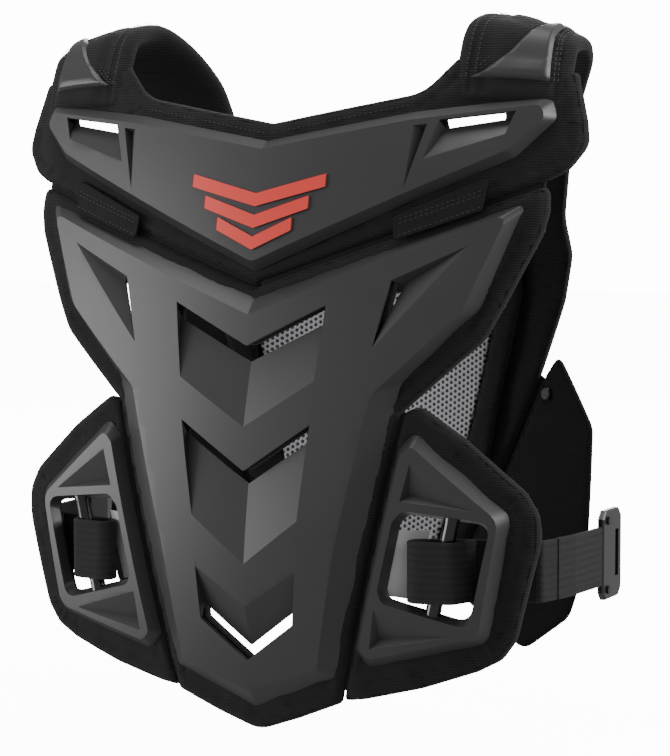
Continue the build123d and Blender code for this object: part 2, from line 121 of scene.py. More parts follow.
BACK_RIDGE = [(0, -170), (121, -119), (125.5, -130), (119, -150), (83, -227), (49, -311.5), (0, -324)]
BACK_RADII = [4, 4, 8, 12, 30, 6, 6]
BLADE_FOOT = [(0, -94), (56, -84), (94, -70), (106, -80), (110, -103), (0, -150)]
BLADE_RIDGE = [(0, -101), (57, -91), (92, -77.5), (99.5, -83), (103, -99), (0, -142.5)]
BLADE_RADII = [2, 20, 6, 5, 6, 6]
BACK_WING_FOOT = [(143, -206), (165, -238), (166, -312), (157, -342), (128, -364), (88, -347), (83, -332)]
BACK_WING_RIDGE = [(142, -216), (159, -240.5), (160, -310), (152, -337), (127, -356), (93, -341), (90, -333)]
BACK_WING_RADII = [6, 8, 10, 8, 8, 5, 5]
HOOK_SLOT = [(151, -283), (159, -283), (158, -336), (151, -333)]

# louvres: lip, half width and rise of its arms; then the foot of the ramp the same way
UPPER_LOUVRE = dict(lip=(-176, 52, 26), foot=(-226, 46.5, 29.5), slot=10.5, depth=8)
MIDDLE_LOUVRE = dict(lip=(-253, 44.5, 30), foot=(-311, 36.5, 28.5), slot=9, depth=8)
LOWER_LOUVRE = dict(lip=(-372, 32, 24.5), foot=(-338, 34.8, 24), slot=-8.5, depth=7.5)
SIDE_VENT = dict(apex=(137, -114), top=(92, -135), foot=(82.5, -176), edge=(97.5, -138), depth=7)


def mirrored(points):
    """The points on the other side, in the opposite order."""
    return [(-x,) + tuple(rest) for x, *rest in reversed(points)]


def whole(half, radii):
    """Outline and radii of both halves, from one that starts and ends on the centre line."""
    return half + mirrored(half[1:-1]), radii + radii[-2:0:-1]


def rounded(points, radii, steps=8):
    """Outline with its corners turned into curves of a few points each."""
    result = []
    count = len(points)
    for index, (corner, radius) in enumerate(zip(points, radii)):
        here = Vector(corner)
        before = Vector(points[index - 1]) - here
        after = Vector(points[(index + 1) % count]) - here
        turn = pi - before.angle(after)
        reach = min(radius * tan(turn / 2), 0.45 * before.length, 0.45 * after.length)
        first = here + before.normalized() * reach
        last = here + after.normalized() * reach
        for step in range(steps):
            t = step / (steps - 1)
            result.append(tuple(first * (1 - t)**2 + here * 2 * t * (1 - t) + last * t**2))
    return result


# ---- flat meshes that are cut into cells and laid on a form ----
class FlatMesh:
    """Faces drawn flat as (x, depth, z), then cut, draped and turned into a piece."""

    def __init__(self):
        """Start with no faces."""
        self.bm = bmesh.new()

    def corners(self, points, depth):
        """Vertices for outline points at one depth."""
        return [self.bm.verts.new((x, depth, z)) for x, z in points]

    def strip(self, outer, outer_depth, inner, inner_depth):
        """Band of faces between two outlines with as many points each."""
        a = self.corners(outer, outer_depth)
        b = self.corners(inner, inner_depth)
        for i in range(len(a)):
            j = (i + 1) % len(a)
            self.bm.faces.new((a[i], a[j], b[j], b[i]))

    def fill(self, outlines, depth):
        """Flat face inside the first outline and outside the others."""
        edges = []
        for points in outlines:
            loop = self.corners(points, depth)
            edges += [self.bm.edges.new((loop[i - 1], loop[i])) for i in range(len(loop))]
        bmesh.ops.triangle_fill(self.bm, use_beauty=True, edges=edges, normal=(0, -1, 0))

    def facet(self, *points):
        """One face through (x, z, depth) points."""
        self.bm.faces.new([self.bm.verts.new((x, depth, z)) for x, z, depth in points])

    def cut(self, cell):
        """Merge shared corners and cut every face along a square grid."""
        bm = self.bm
        bmesh.ops.remove_doubles(bm, verts=bm.verts, dist=0.01)
        for axis in (0, 2):
            values = [v.co[axis] for v in bm.verts]
            normal = Vector((0, 0, 0))
            normal[axis] = 1
            line = int(min(values) / cell) * cell + 0.13
            while line < max(values):
                geometry = bm.verts[:] + bm.edges[:] + bm.faces[:]
                bmesh.ops.bisect_plane(bm, geom=geometry, dist=0.02, plane_co=normal * line, plane_no=normal)
                line += cell

    def drape(self, place, side=1):
        """Lay the flat mesh on a form; side is -1 for a mirror image."""
        for vert in self.bm.verts:
            x, depth, z = vert.co
            vert.co = place(x * side, depth, z) * MM

    def outward(self, sign):
        """Turn the faces so that they look along sign times Y."""
        bmesh.ops.recalc_face_normals(self.bm, faces=self.bm.faces)
        total = sum(face.normal.y * face.calc_area() for face in self.bm.faces)
        if total * sign < 0:
            bmesh.ops.reverse_faces(self.bm, faces=self.bm.faces)

    def piece(self, name):
        """Object made from the mesh."""
        mesh = bpy.data.meshes.new(name)
        self.bm.to_mesh(mesh)
        self.bm.free()
        return linked(name, mesh)


def linked(name, data):
    """New object of the scene with this mesh, lamp or camera."""
    item = bpy.data.objects.new(name, data)
    bpy.context.scene.collection.objects.link(item)
    return item


def outward_mesh(mesh, merge=None):
    """Turn a closed mesh's faces outwards, with points closer than merge joined first."""
    work = bmesh.new()
    work.from_mesh(mesh)
    if merge:
        bmesh.ops.remove_doubles(work, verts=work.verts, dist=merge)
    bmesh.ops.recalc_face_normals(work, faces=work.faces)
    work.to_mesh(mesh)
    work.free()


def finish_padding(item, body, material, node):
    """Finish a piece of padding."""
    return finish_piece(item, body, material, [node], smooth=60)


def finish_piece(item, body, material, replaced=(), smooth=30):
    """Shading, material, body and replaced nodes of a finished piece."""
    activate(item)
    bpy.ops.object.shade_smooth_by_angle(angle=radians(smooth))
    item.data.materials.clear()
    item.data.materials.append(material)
    if replaced:
        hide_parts(*replaced)
    if body:
        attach(item, body)
    return item


def activate(item):
    """Select one object alone and make it active."""
    bpy.ops.object.select_all(action="DESELECT")
    item.select_set(True)
    bpy.context.view_layer.objects.active = item


def apply_modifier(item, kind, **values):
    """Add a modifier, set its values and apply it."""
    activate(item)
    modifier = item.modifiers.new(kind.title(), kind)
    for key, value in values.items():
        setattr(modifier, key, value)
    bpy.ops.object.modifier_apply(modifier=modifier.name)


def thicken(item, wall, edge):
    """Give a moulded plate its wall and its softened edges."""
    bm = bmesh.new()
    bm.from_mesh(item.data)
    bm.normal_update()
    outer = bm.faces[:]
    rim = [(e.verts[0], e.verts[1], e.link_faces[0]) for e in bm.edges if e.is_boundary]
    inner = {v: v.co - v.normal * wall * min(v.calc_shell_factor(), 1.4) for v in bm.verts}
    inner = {v: bm.verts.new(place) for v, place in inner.items()}
    for face in outer:
        bm.faces.new([inner[v] for v in reversed(face.verts)])
    for a, b, face in rim:
        corners = list(face.verts)
        if corners[(corners.index(a) + 1) % len(corners)] != b:
            a, b = b, a
        bm.faces.new((b, a, inner[a], inner[b]))
    bm.to_mesh(item.data)
    bm.free()
    apply_modifier(item, "BEVEL", width=edge, segments=2, limit_method="ANGLE", angle_limit=radians(17),
                   use_clamp_overlap=True, miter_outer="MITER_ARC")


# ---- hard plates ----
def louvre_faces(flat, louvre):
    """Ramp and cheeks of a louvre; returns the outline of its hole in the plate."""
    lip_z, lip_half, lip_rise = louvre["lip"]
    foot_z, foot_half, foot_rise = louvre["foot"]
    slot, depth = louvre["slot"], louvre["depth"]
    for side in (1, -1):
        lip_end = (lip_half * side, lip_z + lip_rise)
        slot_end = (lip_half * side, lip_z + lip_rise - slot)
        foot_end = (foot_half * side, foot_z + foot_rise)
        flat.facet((0, lip_z - slot, depth), slot_end + (depth,), foot_end + (0,), (0, foot_z, 0))
        flat.facet(lip_end + (0,), slot_end + (depth,), foot_end + (0,))
    lip = [(-lip_half, lip_z + lip_rise), (0, lip_z), (lip_half, lip_z + lip_rise)]
    foot = [(foot_half, foot_z + foot_rise), (0, foot_z), (-foot_half, foot_z + foot_rise)]
    return lip + foot


def vent_faces(flat, vent, side):
    """Sloped floor of a side vent; returns the outline of its hole."""
    apex, top, foot, edge = ((vent[key][0] * side, vent[key][1]) for key in ("apex", "top", "foot", "edge"))
    depth = vent["depth"]
    flat.facet(apex + (0,), edge + (depth,), foot + (0,))
    flat.facet(apex + (0,), top + (0,), edge + (depth,))
    return [apex, top, foot]


def make_chest_shell(sizes, looks):
    """Chest plate with bevelled rim, three louvres and two side vents."""
    flat = FlatMesh()
    foot, radii = whole(CHEST_FOOT, CHEST_RADII)
    ridge, _ = whole(CHEST_RIDGE, CHEST_RADII)
    foot, ridge = rounded(foot, radii), rounded(ridge, radii)
    flat.strip(foot, SHELL_DEPTH, ridge, 0)
    holes = [louvre_faces(flat, louvre) for louvre in (UPPER_LOUVRE, MIDDLE_LOUVRE, LOWER_LOUVRE)]
    holes += [vent_faces(flat, SIDE_VENT, side) for side in (1, -1)]
    flat.fill([ridge] + holes, 0)
    flat.cut(sizes.cell / MM)
    flat.drape(front)
    flat.outward(-1)
    item = flat.piece("chest_plate")
    thicken(item, sizes.wall, sizes.edge)
    return finish_piece(item, "chest", looks["shell"], ["chest_shell"], smooth=9)


def make_yoke_shell(sizes, looks):
    """Yoke plate with rolled rim, two scooped slots and two tapered grooves."""
    flat = FlatMesh()
    foot, radii = whole(YOKE_FOOT, YOKE_RADII)
    ridge, _ = whole(YOKE_RIDGE, YOKE_RADII)
    foot, ridge = rounded(foot, radii), rounded(ridge, radii)
    flat.strip(foot, SHELL_DEPTH - 1, ridge, 0)
    holes = []
    for side in (1, -1):
        def at(x, z, depth=0):
            return (x * side, z, depth)
        inner, outer = at(113, -38), at(158, -33)
        low_outer, low_inner = at(153, -47), at(105, -62)
        slot_inner, slot_outer = at(115, -43.5, 6.5), at(155, -37.5, 6.5)
        flat.facet(slot_inner, slot_outer, low_outer, low_inner)
        flat.facet(inner, slot_inner, low_inner)
        flat.facet(outer, slot_outer, low_outer)
        holes.append([p[:2] for p in (inner, outer, low_outer, low_inner)])
        left, right, tip, valley = at(97.5, -41.5), at(106, -40.5), at(95, -80), at(102.5, -44, 5.5)
        flat.facet(left, valley, tip)
        flat.facet(valley, right, tip)
        flat.facet(left, right, valley)
        holes.append([p[:2] for p in (left, right, tip)])
    flat.fill([ridge] + holes, 0)
    flat.cut(sizes.cell / MM)
    flat.drape(front)
    flat.outward(-1)
    item = flat.piece("yoke_plate")
    thicken(item, sizes.wall, sizes.edge)
    return finish_piece(item, "yoke", looks["shell"], ["yoke_shell"], smooth=9)


def sunk_corner(flat, corners, valley):
    """Triangular recess; returns the outline of its hole."""
    ends = [corner + (WING_SET_BACK,) for corner in corners]
    for i in range(3):
        flat.facet(ends[i - 1], ends[i], valley)
    return corners


def make_wing_shell(sizes, looks, side, word):
    """Six-sided side plate with its strap window and two sunk triangles."""
    flat = FlatMesh()
    foot, ridge = rounded(WING_FOOT, WING_RADII), rounded(WING_RIDGE, WING_RADII)
    rim, edge = rounded(WINDOW_RIM, WINDOW_RADII), rounded(WINDOW_EDGE, WINDOW_RADII)
    flat.strip(foot, WING_SET_BACK + SHELL_DEPTH, ridge, WING_SET_BACK)
    flat.strip(rim, WING_SET_BACK, edge, WING_SET_BACK + SHELL_DEPTH)
    upper = sunk_corner(flat, [(107, -245), (147, -273), (101, -268)], (104.5, -264, WING_SET_BACK + 6))
    lower = sunk_corner(flat, [(84, -335), (80.5, -360), (132, -350)], (85, -353, WING_SET_BACK + 6))
    flat.fill([ridge, rim, upper, lower], WING_SET_BACK)
    flat.cut(sizes.cell / MM)
    flat.drape(front, side)
    flat.outward(-1)
    item = flat.piece(word + "_side_plate")
    thicken(item, sizes.wall, sizes.edge)
    return finish_piece(item, word + "_wing", looks["shell"], [word + "_wing_shell"], smooth=9)


def make_back_shells(sizes, looks):
    """Two back plates with bevelled rims and chevron slots."""
    plates = (
        ("spine_plate", BACK_FOOT, BACK_RIDGE, BACK_RADII, ((-215, 44, 22, 9), (-280, 34, 18, 9)),
         "back_shell_lower"),
        ("blade_plate", BLADE_FOOT, BLADE_RIDGE, BLADE_RADII, (), "back_shell_upper"),
    )
    for name, foot, ridge, radii, slots, node in plates:
        flat = FlatMesh()
        full_radii = whole(foot, radii)[1]
        foot = rounded(whole(foot, radii)[0], full_radii)
        ridge = rounded(whole(ridge, radii)[0], full_radii)
        flat.strip(foot, SHELL_DEPTH, ridge, 0)
        holes = []
        for z, half, rise, drop in slots:
            louvre = dict(lip=(z, half, rise), foot=(z - 38, half - 6, rise + 2), slot=drop, depth=7.5)
            holes.append(louvre_faces(flat, louvre))
        flat.fill([ridge] + holes, 0)
        flat.cut(sizes.cell / MM)
        flat.drape(back)
        flat.outward(1)
        item = flat.piece(name)
        thicken(item, sizes.wall, sizes.edge)
        finish_piece(item, "back", looks["shell"], [node], smooth=9)


def make_back_wing_shell(sizes, looks, side, word):
    """Hard plate on a back wing, with its hook slot."""
    flat = FlatMesh()
    foot, ridge = rounded(BACK_WING_FOOT, BACK_WING_RADII), rounded(BACK_WING_RIDGE, BACK_WING_RADII)
    flat.strip(foot, SHELL_DEPTH, ridge, 0)
    recess = [(139, -232), (150, -262), (112, -330), (104, -330)]
    inner = [(137, -239), (145, -263), (112, -322), (108.5, -323)]
    flat.strip(recess, 0, inner, 3)
    flat.fill([inner], 3)
    flat.fill([ridge, rounded(HOOK_SLOT, [2] * 4, 3), recess], 0)
    flat.cut(sizes.cell / MM)
    flat.drape(back, side)
    flat.outward(1)
    item = flat.piece(word + "_back_wing_plate")
    thicken(item, sizes.wall, sizes.edge)
    return finish_piece(item, word + "_back_wing", looks["shell"], [word + "_back_wing_shell"], smooth=9)


# ---- soft liners and pads ----
def edge_distance(points, loops):
    """Distance of each (x, z) point to the nearest of the outlines."""
    best = np.full(len(points), 1e9)
    for loop in loops:
        ring = np.array(loop, float)
        for a, b in zip(ring, np.roll(ring, -1, axis=0)):
            run = b - a
            length = max(float(run @ run), 1e-9)
            share = np.clip(((points - a) @ run) / length, 0, 1)
            gap = points - (a + share[:, None] * run)
            best = np.minimum(best, np.hypot(gap[:, 0], gap[:, 1]))
    return best


def soft_plate(name, place, outline, holes, near, thickness, cell, side=1, seams=()):
    """Closed foam sheet with rolled edges; seams are (distance from the edge, depth) grooves."""
    flat = FlatMesh()
    bm = flat.bm
    flat.fill([outline] + list(holes), 0)
    for amount in (0.4, 0.8, 1.2, 1.4, 1.6):
        bmesh.ops.inset_region(bm, faces=bm.faces[:], thickness=amount, use_even_offset=False,
                               use_boundary=True)
    flat.cut(cell)
    bmesh.ops.dissolve_degenerate(bm, edges=bm.edges[:], dist=0.02)
    flat.outward(-1)
    points = np.array([(v.co.x, v.co.z) for v in bm.verts])
    inward = edge_distance(points, [outline] + list(holes))
    radius = thickness / 2
    share = 1 - np.clip(inward / radius, 0, 1)
    roll = radius * (1 - np.sqrt(np.clip(1 - share**2, 0, 1)))
    groove = sum(depth * np.exp(-((inward - at) / 1.5)**2) for at, depth in seams) if seams else 0 * inward
    x, z = points[:, 0], points[:, 1]
    waves = np.sin(0.21 * x + 0.06 * z) + np.sin(0.17 * z - 0.09 * x)
    slack = 0.03 * thickness * np.clip(inward / 8, 0, 1) * waves
    front_depth = near + roll + groove + slack
    back_depth = near + thickness - roll - 0.6 * groove - slack
    rim = inward < 0.02
    bm.verts.index_update()
    faces = [[v.index for v in f.verts] for f in bm.faces]
    bm.free()
    verts = []
    for (x, z), depth in zip(points, np.where(rim, near + radius, front_depth)):
        verts.append(place(x * side, depth, z) * MM)
    twin = {}
    for index, (x, z) in enumerate(points):
        if rim[index]:
            twin[index] = index
        else:
            twin[index] = len(verts)
            verts.append(place(x * side, back_depth[index], z) * MM)
    back_faces = [[twin[i] for i in reversed(face)] for face in faces]
    mesh = bpy.data.meshes.new(name)
    mesh.from_pydata(verts, [], faces + back_faces)
    mesh.validate()
    outward_mesh(mesh)
    return linked(name, mesh)


def fold_line(shift):
    """Centre and outer end of the fold between yoke and chest."""
    return (0, FOLD_CENTRE_Z + shift), (FOLD_END[0], FOLD_END[1] + shift)


def louvre_window(louvre):
    """Opening in the liner behind a louvre."""
    lip_z, half, rise = louvre["lip"]
    foot_z = louvre["foot"][0]
    high, low = max(lip_z, foot_z), min(lip_z, foot_z)
    top_gap, foot_gap = (-1, 6) if louvre["slot"] > 0 else (-6, 0)
    upper = [(-half, high + rise + top_gap), (0, high + top_gap), (half, high + rise + top_gap)]
    lower = [(half, low + rise + foot_gap), (0, low + foot_gap), (-half, low + rise + foot_gap)]
    return rounded(upper + lower, [2] * 6, 3)


def make_chest_liner(looks):
    """Chest liner with openings behind the louvres and vents."""
    top = fold_line(-FOLD_GAP / 2)
    half = [top[0], top[1], (179, -94), (176, -108), (156, -152), (146, -171), (108, -206)]
    half += [GROOVE_TOP, (GROOVE_FOOT[0], GROOVE_FOOT[1] - 1), (28, -409), (0, -419)]
    radii = [4, 6, 14, 30, 40, 30, 8, 4, 4, 20, 20]
    outline = rounded(*whole(half, radii), steps=6)
    vents = [[(SIDE_VENT[key][0] * s, SIDE_VENT[key][1]) for key in ("apex", "top", "foot")] for s in (1, -1)]
    holes = [louvre_window(louvre) for louvre in (UPPER_LOUVRE, MIDDLE_LOUVRE, LOWER_LOUVRE)]
    holes += [rounded(vent, [3, 3, 3], 3) for vent in vents]
    item = soft_plate("chest_padding", front, outline, holes, SHELL_DEPTH - LINER_SINK,
                      LINER_THICKNESS + LINER_SINK, 4.0, seams=((9.5, 1.6),))
    return finish_padding(item, "chest", looks["liner"], "chest_liner")


def make_yoke_liner(looks):
    """Yoke liner from the neckline down to the fold."""
    bottom = fold_line(FOLD_GAP / 2)
    half = [(0, -39), (97, -21), (116, 0), (188, -10), (196, -40), (198, -54), (188, -69)]
    half += [bottom[1], bottom[0]]
    radii = [6, 30, 4, 4, 30, 14, 18, 6, 4]
    outline = rounded(*whole(half, radii), steps=6)
    slots = [[(x * s, z) for x, z in ((113, -38), (158, -33), (155, -38), (115, -44))] for s in (1, -1)]
    item = soft_plate("yoke_padding", front, outline, slots, SHELL_DEPTH - LINER_SINK,
                      LINER_THICKNESS + LINER_SINK, 4.0, seams=((9.0, 1.6),))
    return finish_padding(item, "yoke", looks["liner"], "yoke_liner")


def make_wing_liner(looks, side, word):
    """Liner of a side plate, open behind the window."""
    inner = [(GROOVE_FOOT[0] + 1, GROOVE_FOOT[1]), (GROOVE_TOP[0] + 1, GROOVE_TOP[1])]
    top = [(108, -211), (138, -232), (172, -262), (180, -276)]
    outer = [(180.5, -294), (166, -352), (157, -365), (142, -373), (108, -385), (72, -394)]
    radii = [3, 3, 10, 40, 16, 20, 40, 20, 16, 20, 60, 20]
    outline = rounded(inner + top + outer, radii, 6)
    window = rounded(WINDOW_RIM, WINDOW_RADII)
    near = WING_SET_BACK + SHELL_DEPTH - LINER_SINK
    item = soft_plate(word + "_side_padding", front, outline, [window], near, LINER_THICKNESS + LINER_SINK,
                      4.0, side, seams=((9.0, 1.6),))
    return finish_padding(item, word + "_wing", looks["liner"], word + "_wing_liner")


def make_back_liner(looks):
    """Back liner, the mesh on its inner face and the bolsters beside it."""
    half = [(0, -80), (62, -68), (104, -46), (151, -46), (156, -60), (149, -98), (155, -122), (148, -152)]
    half += [(128, -200), (100, -262), (64, -332), (0, -345)]
    radii = [10, 30, 14, 8, 10, 30, 20, 30, 40, 40, 12, 20]
    outline = rounded(*whole(half, radii), steps=6)
    item = soft_plate("back_padding", back, outline, [], SHELL_DEPTH - LINER_SINK,
                      LINER_THICKNESS + LINER_SINK, 4.5, seams=((8.0, 0.9),))
    finish_padding(item, "back", looks["liner"], "back_liner")
    near = SHELL_DEPTH + LINER_THICKNESS
    edge = [(94, -150), (71, -248), (50, -322)]
    panel = rounded(edge + mirrored(edge), [6] * 6, 5)
    mesh = soft_plate("spine_spacer_mesh", back, panel, [], near, 4.0, 4.0)
    finish_padding(mesh, "back", looks["mesh"], "spine_mesh")
    bolster = [(97, -112), (117, -112), (115, -150), (98, -215), (90, -262), (69.5, -262), (73.5, -246),
               (96.5, -149)]
    for side, word in SIDES:
        outline = rounded(bolster, [5, 8, 30, 40, 6, 5, 12, 12], 5)
        pad = soft_plate(word + "_bolster_pad", back, outline, [], near, 9.0, 3.0, side)
        finish_padding(pad, "back", looks["liner"], word + "_back_bolster")


def make_back_wing_liner(looks, side, word):
    """Smooth padded flap of a back wing."""
    outline = [(67.5, -334), (131.5, -201), (142, -187), (174, -232), (176, -316), (166, -352), (130, -378),
               (78, -354)]
    outline = rounded(outline, [3, 3, 8, 14, 30, 16, 14, 14], 6)
    item = soft_plate(word + "_flap_padding", back, outline, [], SHELL_DEPTH, 6.0, 4.0, side,
                      seams=((6.0, 0.5),))
    return finish_padding(item, word + "_back_wing", looks["smooth_fabric"], word + "_back_wing_liner")


def gap_strip(name, place, line, half_width, near, thickness, looks, side=1):
    """Fabric that closes the gap between two liners."""
    a, b = Vector(line[0]), Vector(line[-1])
    across = Vector((-(b - a).y, (b - a).x)).normalized() * half_width
    outline = [tuple(Vector(p) + across) for p in line] + [tuple(Vector(p) - across) for p in reversed(line)]
    item = soft_plate(name, place, outline, [], near, thickness, 3.0, side)
    middle = (a + b) / 2
    ends = []
    for share in (-0.6, 0.6):
        x, z = middle + across * share
        ends.append(place(x * side, near + thickness / 2, z) * MM)
    finish_piece(item, None, looks["smooth_fabric"], smooth=50)
    if (ends[1] - ends[0]).x * side < 0:
        ends.reverse()
    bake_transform(item)


def make_gap_strips(looks):
    """Folds between chest and yoke, chest and sides, back and its wings."""
    x, z = FOLD_END
    for side, word in SIDES:
        fold = [(0.0, FOLD_CENTRE_Z), (x - 3, z - 1)]
        item = soft_plate(word + "_fold_skin", front,
                          [(0, FOLD_CENTRE_Z + 7), (x - 3, z + 6), (x - 3, z - 8), (0, FOLD_CENTRE_Z - 7)],
                          [], SHELL_DEPTH + 3.5, 4.5, 3.5, side)
        finish_piece(item, None, looks["smooth_fabric"], smooth=50)
        middle = [(a + b) / 2 for a, b in zip(*fold)]
        ends = [front(middle[0] * side, SHELL_DEPTH + 5, middle[1] + d) * MM for d in (4, -4)]
        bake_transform(item)
        groove = [GROOVE_TOP, (GROOVE_FOOT[0] + 1.5, GROOVE_FOOT[1] + 7)]
        gap_strip(word + "_side_skin", front, groove, 6, SHELL_DEPTH + 4, 4.0,
                  looks, side)
        groove = [(129.8, -203), (68, -329)]
        gap_strip(word + "_flap_skin", back, groove, 5, SHELL_DEPTH + 1.5, 3.0,
                  looks, side)
        make_shoulder_bridge(looks, side, word)


# ---- shoulders ----
SHOULDER_X, SHOULDER_WIDTH, SHOULDER_THICKNESS, SHOULDER_SLOPE = 150.5, 71.0, 13.0, 15.0
ARCH = [(-22.3, -29.0), (-19.0, -17.0), (-14.5, -4.0), (-4, 12), (22, 17), (50, 6.5), (73, -12.5), (85, -30),
        (85.5, -33)]
ARCH_X = [0, 0, 0, 0, 0, -6, -16, -22, -23]
ARCH_WIDTH = [1.0, 1.0, 1.0, 1.0, 1.0, 0.97, 0.88, 0.78, 0.76]


def catmull(values, t):
    """Smooth value between stations, at t from 0 to 1."""
    values = np.array(values, float)
    place = t * (len(values) - 1)
    i = min(int(place), len(values) - 2)
    u = place - i
    p = [values[min(max(i + k, 0), len(values) - 1)] for k in (-1, 0, 1, 2)]
    return 0.5 * (2 * p[1] + (p[2] - p[0]) * u + (2 * p[0] - 5 * p[1] + 4 * p[2] - p[3]) * u * u
                  + (3 * p[1] - p[0] - 3 * p[2] + p[3]) * u**3)


def shoulder_point(t, across, height, side):
    """Point of the shoulder arch, across from its middle line and a height off its mid surface."""
    y, z = catmull(ARCH, t)
    ahead, behind = catmull(ARCH, min(t + 0.01, 1)), catmull(ARCH, max(t - 0.01, 0))
    along = Vector((0, *(ahead - behind))).normalized()
    out = Vector((0, -along.z, along.y))
    slope = radians(SHOULDER_SLOPE)
    outward = Vector((cos(slope), -sin(slope) * out.y, -sin(slope) * out.z))
    normal = Vector((sin(slope), cos(slope) * out.y, cos(slope) * out.z))
    centre = Vector((SHOULDER_X + catmull(ARCH_X, t), y, z))
    point = centre + outward * across + normal * height
    return Vector((point.x * side, point.y, point.z))


def grid_object(name, rows, closed_across=False):
    """Mesh object from rows of points, with its ends capped when the rows are rings."""
    verts = [p * MM for row in rows for p in row]
    width = len(rows[0])
    faces = []
    for r in range(len(rows) - 1):
        for c in range(width if closed_across else width - 1):
            d = (c + 1) % width
            faces.append((r * width + c, r * width + d, (r + 1) * width + d, (r + 1) * width + c))
    if closed_across:
        faces.append(tuple(range(width)))
        faces.append(tuple(reversed(range((len(rows) - 1) * width, len(rows) * width))))
    mesh = bpy.data.meshes.new(name)
    mesh.from_pydata(verts, [], faces)
    outward_mesh(mesh, merge=1e-6)
    return linked(name, mesh)


def make_shoulder_pad(looks, side, word):
    """Quilted pad with a bound neck edge over one shoulder."""
    rows = []
    steps, around = 64, 72
    for r in range(steps + 1):
        t = r / steps
        end = min(t, 1 - t) * steps
        shrink = 1 - 0.5 * max(0, 1 - end / 3)**2
        half = SHOULDER_WIDTH / 2 * catmull(ARCH_WIDTH, t)
        row = []
        for c in range(around):
            angle = 2 * pi * c / around
            across = abs(cos(angle))**0.55 * (1 if cos(angle) >= 0 else -1)
            height = abs(sin(angle))**0.75 * (1 if sin(angle) >= 0 else -1)
            x = across * half
            h = height * SHOULDER_THICKNESS / 2 * shrink
            if height > 0:
                from_neck, from_arm = x + half, half - x
                groove = 1.3 * np.exp(-((from_neck - 9.0) / 1.0)**2)
                groove += 1.0 * np.exp(-((from_neck - 19.5) / 1.2)**2)
                groove += 1.1 * np.exp(-((from_arm - 9.0) / 1.0)**2)
                inside = 1 / (1 + np.exp(-(from_neck - 20) / 1.5)) / (1 + np.exp(-(from_arm - 11) / 1.5))
                waves = 0.0
                for station, depth in ((0.40, 1.4), (0.50, 2.0), (0.60, 2.0), (0.72, 2.0), (0.84, 1.6)):
                    bend = (t - station) * 170 + 0.45 * x + 0.012 * x * x
                    waves += depth * np.exp(-(bend / 3.6)**2)
                h += (2.0 * inside - groove - waves * inside) * min(1, end / 5)
            row.append(shoulder_point(t, x, h, side))
        rows.append(row)
    item = grid_object(word + "_shoulder_padding", rows, closed_across=True)
    return finish_padding(item, "yoke", looks["liner"], word + "_shoulder_pad")


def make_shoulder_bridge(looks, side, word):
    """Fabric from the end of a shoulder pad down behind the back liner."""
    rows = []
    for x, y, z, half in ((130, 83.5, -24, 25), (130, 84, -36, 25), (129, 81, -47, 23), (128, 78, -60, 21),
                          (127, 76.5, -70, 20)):
        row = []
        for c in range(28):
            angle = 2 * pi * c / 28
            across = abs(cos(angle))**0.5 * (1 if cos(angle) >= 0 else -1) * half
            row.append(Vector(((x + across) * side, y + 3.6 * sin(angle), z)))
        rows.append(row)
    item = grid_object(word + "_shoulder_bridge_skin", rows, closed_across=True)
    apply_modifier(item, "SUBSURF", levels=1)
    finish_piece(item, None, looks["liner"], smooth=60)
    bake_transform(item)


def insert_edges(f):
    """Arch share and both edges of the shoulder insert, from its foot at 0 to its tip at 1."""
    return 0.135 + 0.335 * f, -27 + 43 * f**0.8, 22.5 - 2 * f


def make_shoulder_cap(looks, side, word):
    """Smooth moulded triangle let into the front of a shoulder pad."""
    rows = []
    steps, width = 40, 30
    for r in range(steps + 1):
        f = r / steps
        t, left, right = insert_edges(f)
        row = []
        for c in range(width + 1):
            g = c / width
            x = left + (right - left) * g
            edge = min(g, 1 - g) * (right - left)
            ends = min(f * 46, (1 - f) * 46)
            lift = 2.4 * min(1, edge / 3.0) * min(1, ends / 3.0)
            foot = 1.3 * max(0, 1 - abs(f - 0.16) / 0.16) * (1 - abs(g - 0.62))
            height = SHOULDER_THICKNESS / 2 + 1.2 + lift + foot * min(1, edge / 6)
            row.append(shoulder_point(t, x, height, side))
        rows.append(row)
    item = grid_object(word + "_shoulder_insert", rows)
    apply_modifier(item, "SOLIDIFY", thickness=1.5 * MM, offset=-1)
    return finish_piece(item, "yoke", looks["shell"], [word + "_shoulder_cap"], smooth=35)


# ---- straps, posts and tabs ----
STRAP_WIDTH, STRAP_THICKNESS, STRAP_Z, POST_RADIUS = 38.0, 2.0, -311.0, 4.8
POST_TOP, POST_FOOT = (130.5, -277.0), (117.0, -341.0)


def smooth_path(points, radius=6, steps=7):
    """Open path with its inner corners rounded."""
    result = [Vector(points[0])]
    for index in range(1, len(points) - 1):
        here = Vector(points[index])
        before, after = Vector(points[index - 1]) - here, Vector(points[index + 1]) - here
        reach = min(radius, 0.45 * before.length, 0.45 * after.length)
        first, last = here + before.normalized() * reach, here + after.normalized() * reach
        for step in range(steps):
            t = step / (steps - 1)
            result.append(first * (1 - t)**2 + here * 2 * t * (1 - t) + last * t**2)
    result.append(Vector(points[-1]))
    return result


